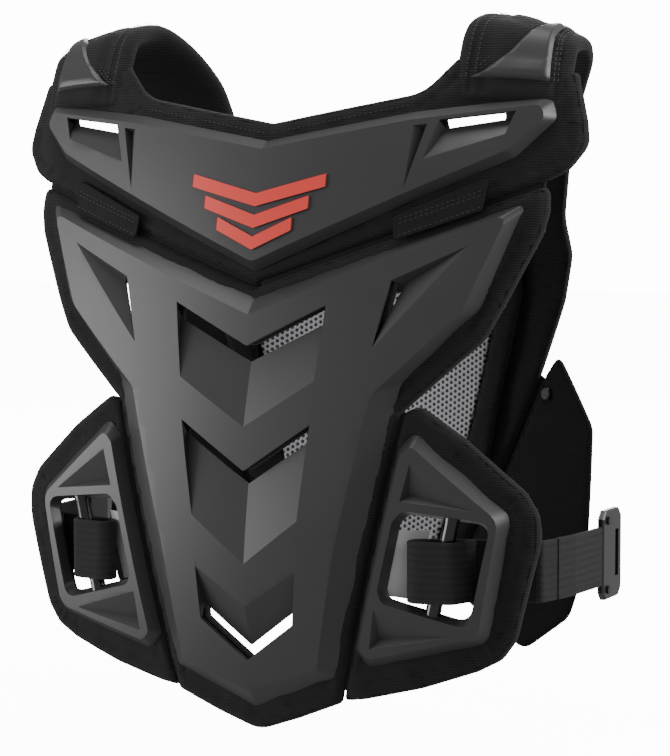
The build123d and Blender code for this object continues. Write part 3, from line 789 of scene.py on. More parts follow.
def ribbon(name, path, width, thickness, place):
    """Webbing along a path; place(point, across) gives each vertex, and its UV map is in metres."""
    half, skin = width / 2, thickness / 2
    section = [(-half, 0), (-half + 0.7, skin), (-half + 2.6, skin * 1.05), (-half + 3.6, skin * 0.86)]
    inner = [(a, skin) for a in np.linspace(-half + 5, half - 5, 9)]
    section += inner + [(-a, h) for a, h in reversed(section[1:])] + [(half, 0)]
    ring = section + [(a, -h) for a, h in reversed(section[1:-1])]
    rows, lengths = [], [0.0]
    for index, point in enumerate(path):
        ahead = path[min(index + 1, len(path) - 1)]
        behind = path[max(index - 1, 0)]
        direction = (ahead - behind).normalized()
        normal = Vector((-direction.y, direction.x))
        rows.append([place(point + normal * h, a) for a, h in ring])
        if index:
            lengths.append(lengths[-1] + (point - path[index - 1]).length)
    count = len(ring)
    verts = [p * MM for row in rows for p in row]
    faces = []
    uvs = []
    for r in range(len(rows) - 1):
        for c in range(count):
            d = (c + 1) % count
            faces.append((r * count + c, r * count + d, (r + 1) * count + d, (r + 1) * count + c))
            uvs.append([(lengths[r], ring[c][0]), (lengths[r], ring[d][0]), (lengths[r + 1], ring[d][0]),
                        (lengths[r + 1], ring[c][0])])
    for row, order in ((0, -1), (len(rows) - 1, 1)):
        faces.append(tuple(row * count + c for c in range(count))[::order])
        uvs.append([(lengths[row], ring[c][0]) for c in range(count)][::order])
    mesh = bpy.data.meshes.new(name)
    mesh.from_pydata(verts, [], faces)
    layer = mesh.uv_layers.new(name="weave")
    flat_uvs = [value * MM for face in uvs for pair in face for value in pair]
    layer.data.foreach_set("uv", flat_uvs)
    item = linked(name, mesh)
    activate(item)
    bpy.ops.object.mode_set(mode="EDIT")
    bpy.ops.mesh.select_all(action="SELECT")
    bpy.ops.mesh.normals_make_consistent(inside=False)
    bpy.ops.object.mode_set(mode="OBJECT")
    return item


def finish_webbing(item, body, looks, *nodes):
    """Finish a piece of webbing."""
    return finish_piece(item, body, looks["webbing"], nodes, smooth=40)


def upright(side, centre_z):
    """Place for webbing that stands on edge: the path lies in plan."""
    def place(point, across):
        return Vector((point.x * side, point.y, centre_z + across))
    return place


def post_x(z):
    """X of the post's axis at a height."""
    share = (z - POST_TOP[1]) / (POST_FOOT[1] - POST_TOP[1])
    return POST_TOP[0] + share * (POST_FOOT[0] - POST_TOP[0])


def make_straps(looks, side, word):
    """Elastic loop round the post, its run behind the liner, and the free tail."""
    z = STRAP_Z
    reach = POST_RADIUS + STRAP_THICKNESS / 2 + 1.4
    post = WING_SET_BACK + SHELL_DEPTH - 1
    behind = WING_SET_BACK + SHELL_DEPTH + LINER_THICKNESS + STRAP_THICKNESS
    lean = abs(post_x(z - STRAP_WIDTH / 2) - post_x(z))
    left, right = post_x(z) - reach - lean - 8, post_x(z) + reach + lean
    route = [(176, behind), (right + 6, behind), (left + 6, post + reach + 1), (left, post + 3),
             (left, post - 3), (left + 6, post - reach), (right - 2, post - reach),
             (right + 5, behind - STRAP_THICKNESS)]
    path = smooth_path([(x, front_y(x, z) + depth) for x, depth in route], 4)
    loop = ribbon(word + "_elastic_loop", path, STRAP_WIDTH, STRAP_THICKNESS, upright(side, z))
    finish_webbing(loop, word + "_wing", looks, word + "_strap_loop")
    start = (177.6, front_y(177.6, z) + behind)
    route = [start, (start[0] + 6, start[1] + 22), (186, 10), (188, 36), (188, 40.5)]
    path = smooth_path(route, 20, 9)
    tail = ribbon(word + "_strap_run", path, STRAP_WIDTH, STRAP_THICKNESS, upright(side, z))
    finish_webbing(tail, word + "_strap", looks, word + "_strap_tail")
    keeper_path = smooth_path([(181.3, -23.0), (185.1, -4.0)], 4)
    keeper = ribbon(word + "_strap_keeper", keeper_path, STRAP_WIDTH + 0.4, STRAP_THICKNESS + 2.2,
                    upright(side, z))
    finish_webbing(keeper, word + "_strap", looks)
    make_strap_fold(looks, side, word, start)
    make_strap_guide(looks, side, word)


def make_strap_guide(looks, side, word):
    """Smooth plate beside the window, on which the elastic slides; its pale colour is painted light standing
    in for the lit inner wall of the window.
    """
    (top_x, top_z), (foot_x, foot_z) = WINDOW_RIM[5], WINDOW_RIM[4]
    near, reach, wall = WING_SET_BACK + SHELL_DEPTH + 1, 17.0, 0.8
    guide_top, guide_foot, inset, drop = -287, -327.5, 1.2, 8.6
    rows = []
    for step in range(9):
        t = step / 8
        outer, inner = [], []
        for column in range(11):
            u = column / 10
            z = guide_top + t * (guide_foot - 3 * u - guide_top)
            x = top_x + (z - top_z) / (foot_z - top_z) * (foot_x - top_x) + inset + reach * u
            depth = near + drop * u**0.75
            point = front(x, depth, z)
            outer.append(Vector((point.x * side, point.y, point.z)))
            inner.append(outer[-1] + Vector((0, wall, 0)))
        rows.append(outer + inner[::-1])
    item = grid_object(word + "_strap_guide", rows, closed_across=True)
    return finish_piece(item, word + "_wing", looks["guide"], smooth=40)


def make_strap_fold(looks, side, word, start):
    """Sewn fold in which the elastic bends, between the loop's end and the free tail."""
    corner = Vector(start)
    back_x = corner.x - 3.2
    before = Vector((back_x, front_y(back_x, STRAP_Z) + corner.y - front_y(corner.x, STRAP_Z)))
    after = corner + Vector((6, 22)).normalized() * 3.6
    path = smooth_path([before, corner, after], 2.2, 9)
    place = upright(side, STRAP_Z)
    item = ribbon(word + "_strap_fold", path, STRAP_WIDTH - 0.2, STRAP_THICKNESS + 0.5, place)
    finish_piece(item, None, looks["webbing"], smooth=40)
    ends = [place(corner.lerp(end, 0.6), 0) * MM for end in (before, after)]
    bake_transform(item)


def make_post(looks, side, word):
    """Round moulded post with a collar at each end."""
    depth = WING_SET_BACK + SHELL_DEPTH - 1
    top = front(POST_TOP[0] * side, depth, POST_TOP[1]) * MM
    foot = front(POST_FOOT[0] * side, depth, POST_FOOT[1]) * MM
    axis = foot - top
    bpy.ops.object.select_all(action="DESELECT")
    bpy.ops.mesh.primitive_cylinder_add(vertices=40, radius=POST_RADIUS * MM, depth=axis.length + 4 * MM)
    item = bpy.context.active_object
    item.name = word + "_moulded_post"
    bpy.ops.object.mode_set(mode="EDIT")
    for share in (0.06, 0.94):
        bpy.ops.mesh.select_all(action="SELECT")
        bpy.ops.mesh.bisect(plane_co=(0, 0, (share - 0.5) * axis.length), plane_no=(0, 0, 1))
    bpy.ops.object.mode_set(mode="OBJECT")
    for vert in item.data.vertices:
        if abs(vert.co.z) > 0.46 * axis.length:
            vert.co.x *= 1.16
            vert.co.y *= 1.16
    turn = Vector((0, 0, 1)).rotation_difference(axis.normalized()).to_matrix().to_4x4()
    item.data.transform(Matrix.Translation((top + foot) / 2) @ turn)
    item.location = (0, 0, 0)
    apply_modifier(item, "BEVEL", width=0.7 * MM, segments=3, limit_method="ANGLE", angle_limit=radians(40))
    return finish_piece(item, word + "_wing", looks["gloss"], [word + "_strap_post"])


def fold_z(x):
    """Height of the fold at a distance from the centre line."""
    return FOLD_CENTRE_Z + (FOLD_END[1] - FOLD_CENTRE_Z) * x / FOLD_END[0]


def make_flex_tab(looks, side, word):
    """Stitched fabric tab over the fold."""
    outline = [(x, fold_z(x) + rise) for x, rise in ((88, 11), (90, -4.5), (142, -4.5), (145, 15))]
    outline = rounded(outline, [3] * 4, 4)
    item = soft_plate(word + "_stitched_tab", front, outline, [], TAB_DEPTH, 2.0, 2.5, side,
                      seams=((3.0, 0.35), (6.0, 0.35)))
    return finish_piece(item, "yoke", looks["smooth_fabric"], [word + "_flex_tab"], smooth=50)


def make_shoulder_webbing(looks):
    """Webbing strip down the back inside each shoulder, and its bridge over the ring."""
    for side, word in SIDES:
        x, z = 130.0, BACK_HINGE_Z - 30
        out = Vector((x / BACK_SIDE_RADIUS, 1, (z - BACK_BULGE_Z) / BACK_TALL_RADIUS)).normalized()
        sideways = Vector((1, -x / BACK_SIDE_RADIUS, 0)).normalized()
        up = out.cross(sideways)
        origin = Vector((x, back_y(x, z) - SHELL_DEPTH + 1.2, z))

        def place(point, across):
            spot = origin + up * point.x + out * point.y + sideways * across
            return Vector((spot.x * side, spot.y, spot.z))
        path = smooth_path([(-24, 0.8), (-8, 0.8), (2, 0.8), (14, 0.8), (23, 0.8)], 3, 3)
        strip = ribbon(word + "_shoulder_strip", path, 25.0, 1.6, place)
        finish_webbing(strip, "back", looks, word + "_shoulder_webbing")
        path = smooth_path([(-5, 4.6), (-2, 6.4), (6, 6.4), (9, 4.6)], 3, 5)
        bridge = ribbon(word + "_shoulder_bridge", path, 24.0, 1.6, place)
        finish_webbing(bridge, "back", looks)



# ---- stitching ----
def stitches(name, points, body, material, pitch=3.4, length=2.2, radius=0.32):
    """Row of short thread lengths along a line of points."""
    work = bmesh.new()
    travelled, due = 0.0, pitch / 2
    for a, b in zip(points, points[1:]):
        run = b - a
        while due <= travelled + run.length:
            centre = a + run.normalized() * (due - travelled)
            direction = run.normalized()
            turn = Vector((0, 0, 1)).rotation_difference(direction).to_matrix().to_4x4()
            matrix = Matrix.Translation(centre * MM) @ turn @ Matrix.Diagonal((1, 1, length / radius / 2, 1))
            bmesh.ops.create_icosphere(work, subdivisions=1, radius=radius * MM, matrix=matrix)
            due += pitch
        travelled += run.length
    mesh = bpy.data.meshes.new(name)
    work.to_mesh(mesh)
    work.free()
    return finish_piece(linked(name, mesh), body, material, smooth=60)


def make_stitching(looks):
    """Thread along the shoulder inserts, the tabs and the neck binding."""
    for side, word in SIDES:
        lines = []
        top = SHOULDER_THICKNESS / 2 + 0.9
        for offset in (2.6, 5.0):
            outer, inner = [], []
            for f in np.linspace(0, 1, 40):
                t, left, right = insert_edges(f)
                outer.append(shoulder_point(t, right + offset, top, side))
                inner.append(shoulder_point(t, left - offset * 1.3, top, side))
            lines += [outer, inner]
        for neck in (6.5, 12.5):
            band = []
            for t in np.linspace(0.14, 0.95, 90):
                across = -SHOULDER_WIDTH / 2 * catmull(ARCH_WIDTH, t) + neck
                band.append(shoulder_point(t, across, SHOULDER_THICKNESS / 2 - 0.1, side))
            lines.append(band)
        for number, line in enumerate(lines):
            stitches(f"{word}_insert_stitch_{number}", line, "yoke", looks["thread"])
        for number, drop in enumerate((8.0, 5.4, -2.0)):
            line = [front(x * side, TAB_DEPTH + 0.1, fold_z(x) + drop) for x in np.linspace(92, 141, 25)]
            stitches(f"{word}_tab_stitch_{number}", line, "yoke", looks["thread"])
        neck = [front(x * side, SHELL_DEPTH - 0.5, -45.6 + 0.185 * x) for x in np.linspace(2, 92, 50)]
        stitches(f"{word}_neck_stitch", neck, "yoke", looks["thread"])


# ---- materials ----
def new_material(name, **values):
    """Material with a Principled BSDF whose plain sockets are set."""
    material = bpy.data.materials.new(name)
    material.use_nodes = True
    shader = material.node_tree.nodes["Principled BSDF"]
    for key, value in values.items():
        shader.inputs[key.replace("_", " ")].default_value = value
    return material, material.node_tree, shader


def group_input(group, name, default, kind="NodeSocketFloat"):
    """Named input of a node group with its default."""
    item = group.interface.new_socket(name=name, in_out="INPUT", socket_type=kind)
    item.default_value = default
    return item


def node(tree, kind, **values):
    """Node with its properties set."""
    made = tree.nodes.new(kind)
    for key, value in values.items():
        setattr(made, key, value)
    return made


def math_node(tree, operation, first, second=None, third=None):
    """Math node fed by links or numbers."""
    made = node(tree, "ShaderNodeMath", operation=operation)
    for index, value in enumerate((first, second, third)):
        if value is None:
            continue
        if isinstance(value, (int, float)):
            made.inputs[index].default_value = value
        else:
            tree.links.new(value, made.inputs[index])
    return made.outputs[0]


def make_grain_group():
    """Moulded grain: fine bumps, soft colour drift and scuffs."""
    group = bpy.data.node_groups.new("MouldedGrain", "ShaderNodeTree")
    group_input(group, "Vector", (0, 0, 0), "NodeSocketVector")
    group_input(group, "Grain Scale", 1400.0)
    group_input(group, "Scuff Scale", 22.0)
    for name in ("Height", "Drift", "Scuff"):
        group.interface.new_socket(name=name, in_out="OUTPUT", socket_type="NodeSocketFloat")
    source, sink = node(group, "NodeGroupInput"), node(group, "NodeGroupOutput")
    fine = node(group, "ShaderNodeTexNoise")
    fine.inputs["Detail"].default_value = 2
    drift = node(group, "ShaderNodeTexNoise")
    drift.inputs["Scale"].default_value = 9
    drift.inputs["Detail"].default_value = 3
    scuff = node(group, "ShaderNodeTexNoise")
    scuff.inputs["Detail"].default_value = 8
    scuff.inputs["Roughness"].default_value = 0.75
    stretch = node(group, "ShaderNodeVectorMath", operation="MULTIPLY")
    stretch.inputs[1].default_value = (1.0, 1.0, 5.0)
    links = group.links
    for texture in (fine, drift):
        links.new(source.outputs["Vector"], texture.inputs["Vector"])
    links.new(source.outputs["Vector"], stretch.inputs[0])
    links.new(stretch.outputs[0], scuff.inputs["Vector"])
    links.new(source.outputs["Grain Scale"], fine.inputs["Scale"])
    links.new(source.outputs["Scuff Scale"], scuff.inputs["Scale"])
    sharp = math_node(group, "MULTIPLY_ADD", scuff.outputs[0], 6.0, -3.9)
    mask = math_node(group, "SMOOTH_MAX", sharp, 0.0, 0.1)
    links.new(fine.outputs[0], sink.inputs["Height"])
    links.new(drift.outputs[0], sink.inputs["Drift"])
    links.new(mask, sink.inputs["Scuff"])
    return group


def wave(tree, value, frequency):
    """Cosine of a coordinate, 0 to 1, with so many periods a metre."""
    angle = math_node(tree, "MULTIPLY", value, 2 * pi * frequency)
    return math_node(tree, "MULTIPLY_ADD", math_node(tree, "COSINE", angle), 0.5, 0.5)


def counted_wave(tree, value, per_metre):
    """Cosine of a coordinate, 0 to 1, with the number of periods a metre from a socket."""
    turns = math_node(tree, "MULTIPLY", math_node(tree, "MULTIPLY", value, 2 * pi), per_metre)
    return math_node(tree, "MULTIPLY_ADD", math_node(tree, "COSINE", turns), 0.5, 0.5)


def make_rib_group():
    """Woven ribs across a fabric: thread rows in height, and a tint painted lighter on the rib tops and
    darker in the grooves between them as painted shade, with a random tone.
    """
    group = bpy.data.node_groups.new("WovenRibs", "ShaderNodeTree")
    group_input(group, "Vector", (0, 0, 0), "NodeSocketVector")
    group_input(group, "Ribs per Metre", 520.0)
    group_input(group, "Threads per Metre", 1500.0)
    for name in ("Height", "Tint"):
        group.interface.new_socket(name=name, in_out="OUTPUT", socket_type="NodeSocketFloat")
    source, sink = node(group, "NodeGroupInput"), node(group, "NodeGroupOutput")
    links = group.links
    split = node(group, "ShaderNodeSeparateXYZ")
    noise = node(group, "ShaderNodeTexNoise")
    noise.inputs["Scale"].default_value = 60
    links.new(source.outputs["Vector"], split.inputs[0])
    links.new(source.outputs["Vector"], noise.inputs["Vector"])
    sway = math_node(group, "MULTIPLY_ADD", noise.outputs[0], 0.0012, split.outputs["Z"])
    deep = math_node(group, "MULTIPLY", split.outputs["Y"], 0.8)
    along = math_node(group, "ADD", split.outputs["X"], deep)
    rib, thread = (counted_wave(group, value, source.outputs[name])
                   for value, name in ((sway, "Ribs per Metre"), (along, "Threads per Metre")))
    height = math_node(group, "MULTIPLY_ADD", thread, 0.3, math_node(group, "MULTIPLY", rib, 0.7))
    links.new(height, sink.inputs["Height"])
    # The tint is painted shade: darker in the grooves between ribs and lighter on their tops, plus a random
    # tone from the noise.
    links.new(math_node(group, "MULTIPLY_ADD", noise.outputs[0], 0.3, math_node(group, "MULTIPLY", rib, 0.7)),
              sink.inputs["Tint"])
    return group


def ramp_colour(tree, value, dark, light, low=0.0, high=1.0):
    """Colour between two, by a value."""
    ramp = node(tree, "ShaderNodeValToRGB")
    ramp.color_ramp.elements[0].position = low
    ramp.color_ramp.elements[0].color = (*dark, 1)
    ramp.color_ramp.elements[1].position = high
    ramp.color_ramp.elements[1].color = (*light, 1)
    tree.links.new(value, ramp.inputs[0])
    return ramp.outputs[0]


def object_vector(tree):
    """Object coordinates."""
    return node(tree, "ShaderNodeTexCoord").outputs["Object"]


def bump_into(tree, shader, height, strength, distance):
    """Bump node from a height into the shader's normal."""
    bump = node(tree, "ShaderNodeBump")
    bump.inputs["Strength"].default_value = strength
    bump.inputs["Distance"].default_value = distance
    tree.links.new(height, bump.inputs["Height"])
    tree.links.new(bump.outputs[0], shader.inputs["Normal"])


def plastic(name, grain, dark, light, roughness, coat, grain_scale=1400.0, strength=0.10):
    """Moulded plastic with grain, colour drift and light scuffs."""
    material, tree, shader = new_material(name, Coat_Weight=coat, Coat_Roughness=0.25, Specular_IOR_Level=0.5)
    effect = node(tree, "ShaderNodeGroup", node_tree=grain)
    effect.inputs["Grain Scale"].default_value = grain_scale
    tree.links.new(object_vector(tree), effect.inputs["Vector"])
    colour = ramp_colour(tree, effect.outputs["Drift"], dark, light, 0.3, 0.7)
    tree.links.new(colour, shader.inputs["Base Color"])
    rough = math_node(tree, "MULTIPLY_ADD", effect.outputs["Drift"], 0.08, roughness - 0.04)
    rough = math_node(tree, "MULTIPLY_ADD", effect.outputs["Scuff"], 0.10, rough)
    tree.links.new(rough, shader.inputs["Roughness"])
    bump_into(tree, shader, effect.outputs["Height"], strength, 0.0003)
    return material


def fabric(name, ribs, dark, light, per_metre, strength, sheen):
    """Ribbed woven fabric, its rib grooves painted darker as painted shade."""
    material, tree, shader = new_material(name, Roughness=0.92, Sheen_Weight=sheen, Sheen_Roughness=0.5,
                                          Specular_IOR_Level=0.25)
    effect = node(tree, "ShaderNodeGroup", node_tree=ribs)
    effect.inputs["Ribs per Metre"].default_value = per_metre
    effect.inputs["Threads per Metre"].default_value = per_metre * 2.4
    tree.links.new(object_vector(tree), effect.inputs["Vector"])
    # Colour from the rib tint: painted shade in the grooves between ribs, with a random tone.
    tree.links.new(ramp_colour(tree, effect.outputs["Tint"], dark, light), shader.inputs["Base Color"])
    bump_into(tree, shader, effect.outputs["Height"], strength, 0.0008)
    return material


def herringbone():
    """Elastic webbing with a herringbone weave along its UV map, its colour painted darker in the weave's
    grooves and lighter on the cords as painted shade.
    """
    material, tree, shader = new_material("HerringboneWebbing", Roughness=0.85, Sheen_Weight=0.05,
                                          Specular_IOR_Level=0.3)
    uv = node(tree, "ShaderNodeUVMap", uv_map="weave")
    split = node(tree, "ShaderNodeSeparateXYZ")
    tree.links.new(uv.outputs[0], split.inputs[0])
    zigzag = math_node(tree, "PINGPONG", split.outputs["Y"], 0.0022)
    slant = math_node(tree, "ADD", split.outputs["X"], zigzag)
    cord = wave(tree, slant, 900)
    column = wave(tree, split.outputs["Y"], 1 / 0.0044)
    height = math_node(tree, "MULTIPLY_ADD", cord, 0.8, math_node(tree, "MULTIPLY", column, 0.2))
    # The colour follows the weave's height: painted shade in the grooves, lighter cords.
    colour = ramp_colour(tree, height, (0.006, 0.006, 0.0065), (0.030, 0.030, 0.032))
    tree.links.new(colour, shader.inputs["Base Color"])
    bump_into(tree, shader, height, 0.8, 0.0006)
    return material


def spacer_mesh():
    """Grey spacer mesh with a lattice of dark holes."""
    material, tree, shader = new_material("SpacerMesh", Roughness=0.7, Specular_IOR_Level=0.3)
    split = node(tree, "ShaderNodeSeparateXYZ")
    tree.links.new(object_vector(tree), split.inputs[0])
    x, z = split.outputs["X"], split.outputs["Z"]
    total = wave(tree, x, 300)
    for lean in (0.866, -0.866):
        slanted = math_node(tree, "MULTIPLY_ADD", z, lean, math_node(tree, "MULTIPLY", x, 0.5))
        total = math_node(tree, "ADD", total, wave(tree, slanted, 300))
    lattice = math_node(tree, "DIVIDE", total, 3.0)
    colour = ramp_colour(tree, lattice, (0.50, 0.50, 0.52), (0.05, 0.05, 0.055), 0.52, 0.62)
    tree.links.new(colour, shader.inputs["Base Color"])
    raised = math_node(tree, "SUBTRACT", 1.0, lattice)
    bump_into(tree, shader, raised, 0.9, 0.0012)
    return material


def make_looks(colours):
    """Every material of the protector, by finish."""
    grain, ribs = make_grain_group(), make_rib_group()
    shell = tuple(colours.shell)
    badge = tuple(colours.badge)
    looks = {
        # The guide's pale colour is painted light: the lit inner wall of the window given as a pale plate.
        "guide": plastic("PaintedLightGuide", grain, (0.50, 0.50, 0.505), (0.60, 0.60, 0.605), 0.45, 0.0),
        "shell": plastic("SatinShell", grain, tuple(c * 0.9 for c in shell), tuple(c * 1.12 for c in shell),
                         0.42, 0.0),
        "badge": plastic("RedBadge", grain, tuple(c * 0.92 for c in badge), badge, 0.3, 0.4, 900, 0.03),
        "gloss": plastic("GlossBlack", grain, (0.005, 0.005, 0.0055), (0.008, 0.008, 0.009), 0.16, 0.2, 700,
                         0.02),
        "buckle": plastic("BuckleBlack", grain, (0.009, 0.009, 0.010), (0.014, 0.014, 0.015), 0.33, 0.1, 1100,
                          0.08),
        # The liner and the fine fabric carry painted shade in their rib grooves.
        "liner": fabric("RibbedLiner", ribs, (0.009, 0.009, 0.0095), (0.022, 0.022, 0.0235), 640, 0.45, 0.04),
        "smooth_fabric": fabric("FineFabric", ribs, (0.008, 0.008, 0.0085), (0.015, 0.015, 0.016), 1100, 0.25,
                                0.04),
        "webbing": herringbone(),
        "mesh": spacer_mesh(),
    }
    thread, tree, shader = new_material("BlackThread", Roughness=0.6)
    noise = node(tree, "ShaderNodeTexNoise")
    noise.inputs["Scale"].default_value = 900
    tree.links.new(object_vector(tree), noise.inputs["Vector"])
    tree.links.new(ramp_colour(tree, noise.outputs[0], (0.02, 0.02, 0.021), (0.055, 0.055, 0.058)),
                   shader.inputs["Base Color"])
    looks["thread"] = thread
    steel, tree, shader = new_material("BlackSteel", Metallic=0.8)
    effect = node(tree, "ShaderNodeGroup", node_tree=grain)
    tree.links.new(object_vector(tree), effect.inputs["Vector"])
    tree.links.new(ramp_colour(tree, effect.outputs["Drift"], (0.02, 0.02, 0.022), (0.05, 0.05, 0.052)),
                   shader.inputs["Base Color"])
    rough = math_node(tree, "MULTIPLY_ADD", effect.outputs["Scuff"], 0.2, 0.32)
    tree.links.new(rough, shader.inputs["Roughness"])
    looks["steel"] = steel
    return looks


def dress_nodes(looks):
    """Materials of the hard nodes that keep their own shape."""
    finishes = {"yoke_badge": "badge", "strap_buckle": "buckle", "buckle_screws": "steel",
                "shoulder_adjuster": "buckle", "back_wing_rivet": "steel"}
    for name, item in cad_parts.items():
        plain = name.split("_", 1)[1] if name.startswith(("left_", "right_")) else name
        if plain in finishes:
            item.data.materials.clear()
            item.data.materials.append(looks[finishes[plain]])
            activate(item)
            bpy.ops.object.shade_smooth_by_angle(angle=radians(30))


# ---- stage ----
def make_stage():
    """Pale floor, white surroundings, soft lights and the camera."""
    floor_z = CAD_BOX[0][2] - 0.004
    bpy.ops.object.select_all(action="DESELECT")
    bpy.ops.mesh.primitive_plane_add(size=14, location=(0, 0, 0))
    floor = bpy.context.active_object
    floor.name = "floor"
    floor.data.transform(Matrix.Translation((0, 0, floor_z)))
    material, tree, shader = new_material("PaleFloor", Roughness=0.9)
    noise = node(tree, "ShaderNodeTexNoise")
    noise.inputs["Scale"].default_value = 3
    tree.links.new(object_vector(tree), noise.inputs["Vector"])
    colour = ramp_colour(tree, noise.outputs[0], (0.86, 0.86, 0.86), (0.9, 0.9, 0.9))
    tree.links.new(colour, shader.inputs["Base Color"])
    shader.inputs["Emission Color"].default_value = (1, 1, 1, 1)
    shader.inputs["Emission Strength"].default_value = 12.0
    floor.data.materials.append(material)
    floor.visible_diffuse = False
    floor.visible_glossy = False
    world = bpy.data.worlds.new("Studio")
    bpy.context.scene.world = world
    world.use_nodes = True
    tree = world.node_tree
    tree.nodes.clear()
    out = node(tree, "ShaderNodeOutputWorld")
    seen, cast = node(tree, "ShaderNodeBackground"), node(tree, "ShaderNodeBackground")
    for background, strength in ((seen, 14.0), (cast, 0.5)):
        background.inputs[0].default_value = (1, 1, 1, 1)
        background.inputs[1].default_value = strength
    mix = node(tree, "ShaderNodeMixShader")
    path = node(tree, "ShaderNodeLightPath")
    tree.links.new(path.outputs["Is Camera Ray"], mix.inputs[0])
    tree.links.new(cast.outputs[0], mix.inputs[1])
    tree.links.new(seen.outputs[0], mix.inputs[2])
    tree.links.new(mix.outputs[0], out.inputs[0])
    lights = (("key", (-2.2, -1.5, -0.15), 1.6, 62), ("rim", (1.7, 0.6, 0.5), 0.8, 38),
              ("top", (-0.2, -0.2, 2.0), 1.2, 22), ("back", (-0.6, 2.2, 0.8), 1.2, 45))
    target = Vector((0, 0, -0.2))
    for name, place, size, power in lights:
        data = bpy.data.lights.new(name, "AREA")
        data.size = size
        data.energy = power
        lamp = linked(name, data)
        lamp.location = place
        lamp.rotation_euler = (target - Vector(place)).to_track_quat("-Z", "Y").to_euler()
    camera = bpy.data.cameras.new("camera")
    camera.lens = 119.05
    camera.sensor_width = 36
    camera.clip_start = 0.05
    item = linked("camera", camera)
    aim = Vector((0.0018, 0.039, -0.204))
    azimuth, elevation, reach = radians(25.75), radians(4.15), 1.65
    towards = Vector((sin(azimuth) * cos(elevation), -cos(azimuth) * cos(elevation), sin(elevation)))
    item.location = aim + reach * towards
    item.rotation_euler = (aim - item.location).to_track_quat("-Z", "Y").to_euler()
    bpy.context.scene.camera = item


# ---- add-on ----
class ProtectorSizes(bpy.types.PropertyGroup):
    """Sizes that a maker may change."""
    wall: bpy.props.FloatProperty(name="Plate Wall", description="Thickness of the moulded plates",
                                  unit="LENGTH", default=0.0026, precision=4)
    edge: bpy.props.FloatProperty(name="Edge Softness", description="Width of the plates' softened edges",
                                  unit="LENGTH", default=0.0006, precision=4)
    cell: bpy.props.FloatProperty(name="Cell", description="Size of the mesh cells on the plates",
                                  unit="LENGTH", default=0.007, precision=4)


class ProtectorColours(bpy.types.PropertyGroup):
    """Colours that a maker may change."""
    shell: bpy.props.FloatVectorProperty(name="Plates", description="Colour of the moulded plates",
                                         subtype="COLOR", size=3, default=(0.034, 0.034, 0.036))
    badge: bpy.props.FloatVectorProperty(name="Badge", description="Colour of the yoke badge",
                                         subtype="COLOR", size=3, default=(0.90, 0.055, 0.04))


LOOKS = {}


class PieceOperator:
    """What every piece's operator shares."""
    bl_options = {"REGISTER", "UNDO"}

    def sizes(self, context):
        """Sizes set in the sidebar."""
        return context.scene.protector_sizes


class PROTECTOR_OT_looks(PieceOperator, bpy.types.Operator):
    """Make every material and dress the hard nodes"""
    bl_idname = "protector.looks"
    bl_label = "Materials"

    def execute(self, context):
        LOOKS.update(make_looks(context.scene.protector_colours))
        dress_nodes(LOOKS)
        return {"FINISHED"}


class PROTECTOR_OT_front(PieceOperator, bpy.types.Operator):
    """Make the chest and yoke plates"""
    bl_idname = "protector.front"
    bl_label = "Front Plates"

    def execute(self, context):
        make_chest_shell(self.sizes(context), LOOKS)
        make_yoke_shell(self.sizes(context), LOOKS)
        return {"FINISHED"}


class PROTECTOR_OT_wings(PieceOperator, bpy.types.Operator):
    """Make the side plates, their liners and posts"""
    bl_idname = "protector.wings"
    bl_label = "Side Plates"

    def execute(self, context):
        for side, word in SIDES:
            make_wing_shell(self.sizes(context), LOOKS, side, word)
            make_wing_liner(LOOKS, side, word)
            make_post(LOOKS, side, word)
        return {"FINISHED"}


class PROTECTOR_OT_liners(PieceOperator, bpy.types.Operator):
    """Make the chest and yoke liners and the tabs between them"""
    bl_idname = "protector.liners"
    bl_label = "Front Liners"

    def execute(self, context):
        make_chest_liner(LOOKS)
        make_yoke_liner(LOOKS)
        for side, word in SIDES:
            make_flex_tab(LOOKS, side, word)
        make_gap_strips(LOOKS)
        return {"FINISHED"}


class PROTECTOR_OT_shoulders(PieceOperator, bpy.types.Operator):
    """Make the shoulder pads and their inserts"""
    bl_idname = "protector.shoulders"
    bl_label = "Shoulders"

    def execute(self, context):
        for side, word in SIDES:
            make_shoulder_pad(LOOKS, side, word)
            make_shoulder_cap(LOOKS, side, word)
        return {"FINISHED"}


class PROTECTOR_OT_back(PieceOperator, bpy.types.Operator):
    """Make the back plates, liner, mesh and wings"""
    bl_idname = "protector.back"
    bl_label = "Back"

    def execute(self, context):
        make_back_shells(self.sizes(context), LOOKS)
        make_back_liner(LOOKS)
        for side, word in SIDES:
            make_back_wing_liner(LOOKS, side, word)
            make_back_wing_shell(self.sizes(context), LOOKS, side, word)
        return {"FINISHED"}


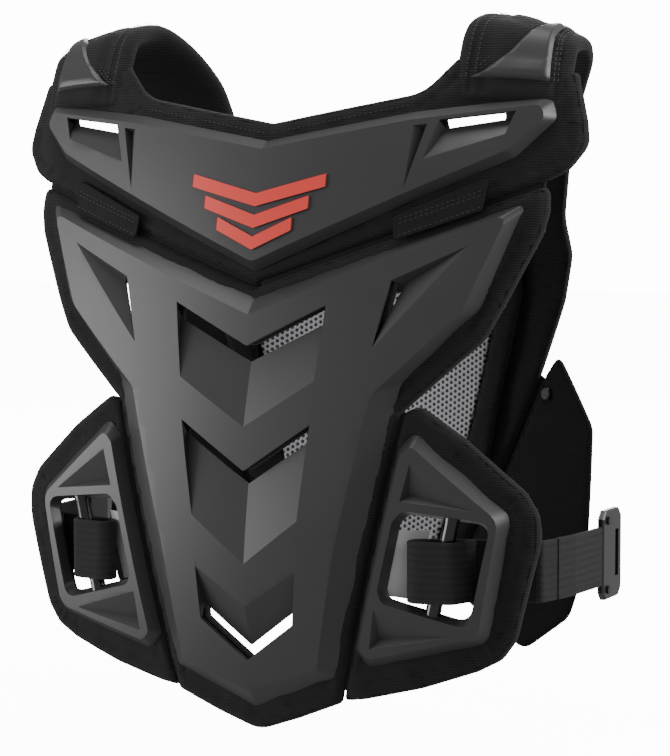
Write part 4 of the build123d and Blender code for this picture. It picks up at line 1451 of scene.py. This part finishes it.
class PROTECTOR_OT_straps(PieceOperator, bpy.types.Operator):
    """Make the elastic straps and the shoulder webbing"""
    bl_idname = "protector.straps"
    bl_label = "Straps"

    def execute(self, context):
        for side, word in SIDES:
            make_straps(LOOKS, side, word)
        make_shoulder_webbing(LOOKS)
        return {"FINISHED"}


class PROTECTOR_OT_stitching(PieceOperator, bpy.types.Operator):
    """Make the rows of thread"""
    bl_idname = "protector.stitching"
    bl_label = "Stitching"

    def execute(self, context):
        make_stitching(LOOKS)
        return {"FINISHED"}


class PROTECTOR_OT_stage(PieceOperator, bpy.types.Operator):
    """Make the floor, lights and camera"""
    bl_idname = "protector.stage"
    bl_label = "Stage"

    def execute(self, context):
        make_stage()
        return {"FINISHED"}


OPERATORS = (PROTECTOR_OT_looks, PROTECTOR_OT_front, PROTECTOR_OT_wings, PROTECTOR_OT_liners,
             PROTECTOR_OT_shoulders, PROTECTOR_OT_back, PROTECTOR_OT_straps, PROTECTOR_OT_stitching,
             PROTECTOR_OT_stage)


class PROTECTOR_PT_panel(bpy.types.Panel):
    """Sidebar panel with the sizes, colours and steps"""
    bl_label = "Chest Protector"
    bl_idname = "PROTECTOR_PT_panel"
    bl_space_type = "VIEW_3D"
    bl_region_type = "UI"
    bl_category = "Protector"

    def draw(self, context):
        for values in (context.scene.protector_sizes, context.scene.protector_colours):
            for key in values.__annotations__:
                self.layout.prop(values, key)
        for operator in OPERATORS:
            self.layout.operator(operator.bl_idname)


CLASSES = (ProtectorSizes, ProtectorColours) + OPERATORS + (PROTECTOR_PT_panel,)


def register():
    """Register every class and the scene's properties."""
    for cls in CLASSES:
        bpy.utils.register_class(cls)
    bpy.types.Scene.protector_sizes = bpy.props.PointerProperty(type=ProtectorSizes)
    bpy.types.Scene.protector_colours = bpy.props.PointerProperty(type=ProtectorColours)


def unregister():
    """Undo register."""
    del bpy.types.Scene.protector_colours
    del bpy.types.Scene.protector_sizes
    for cls in reversed(CLASSES):
        bpy.utils.unregister_class(cls)


def main():
    """Build everything."""
    register()
    for operator in OPERATORS:
        group, step = operator.bl_idname.split(".")
        getattr(getattr(bpy.ops, group), step)()


if __name__ == "__main__":
    main()
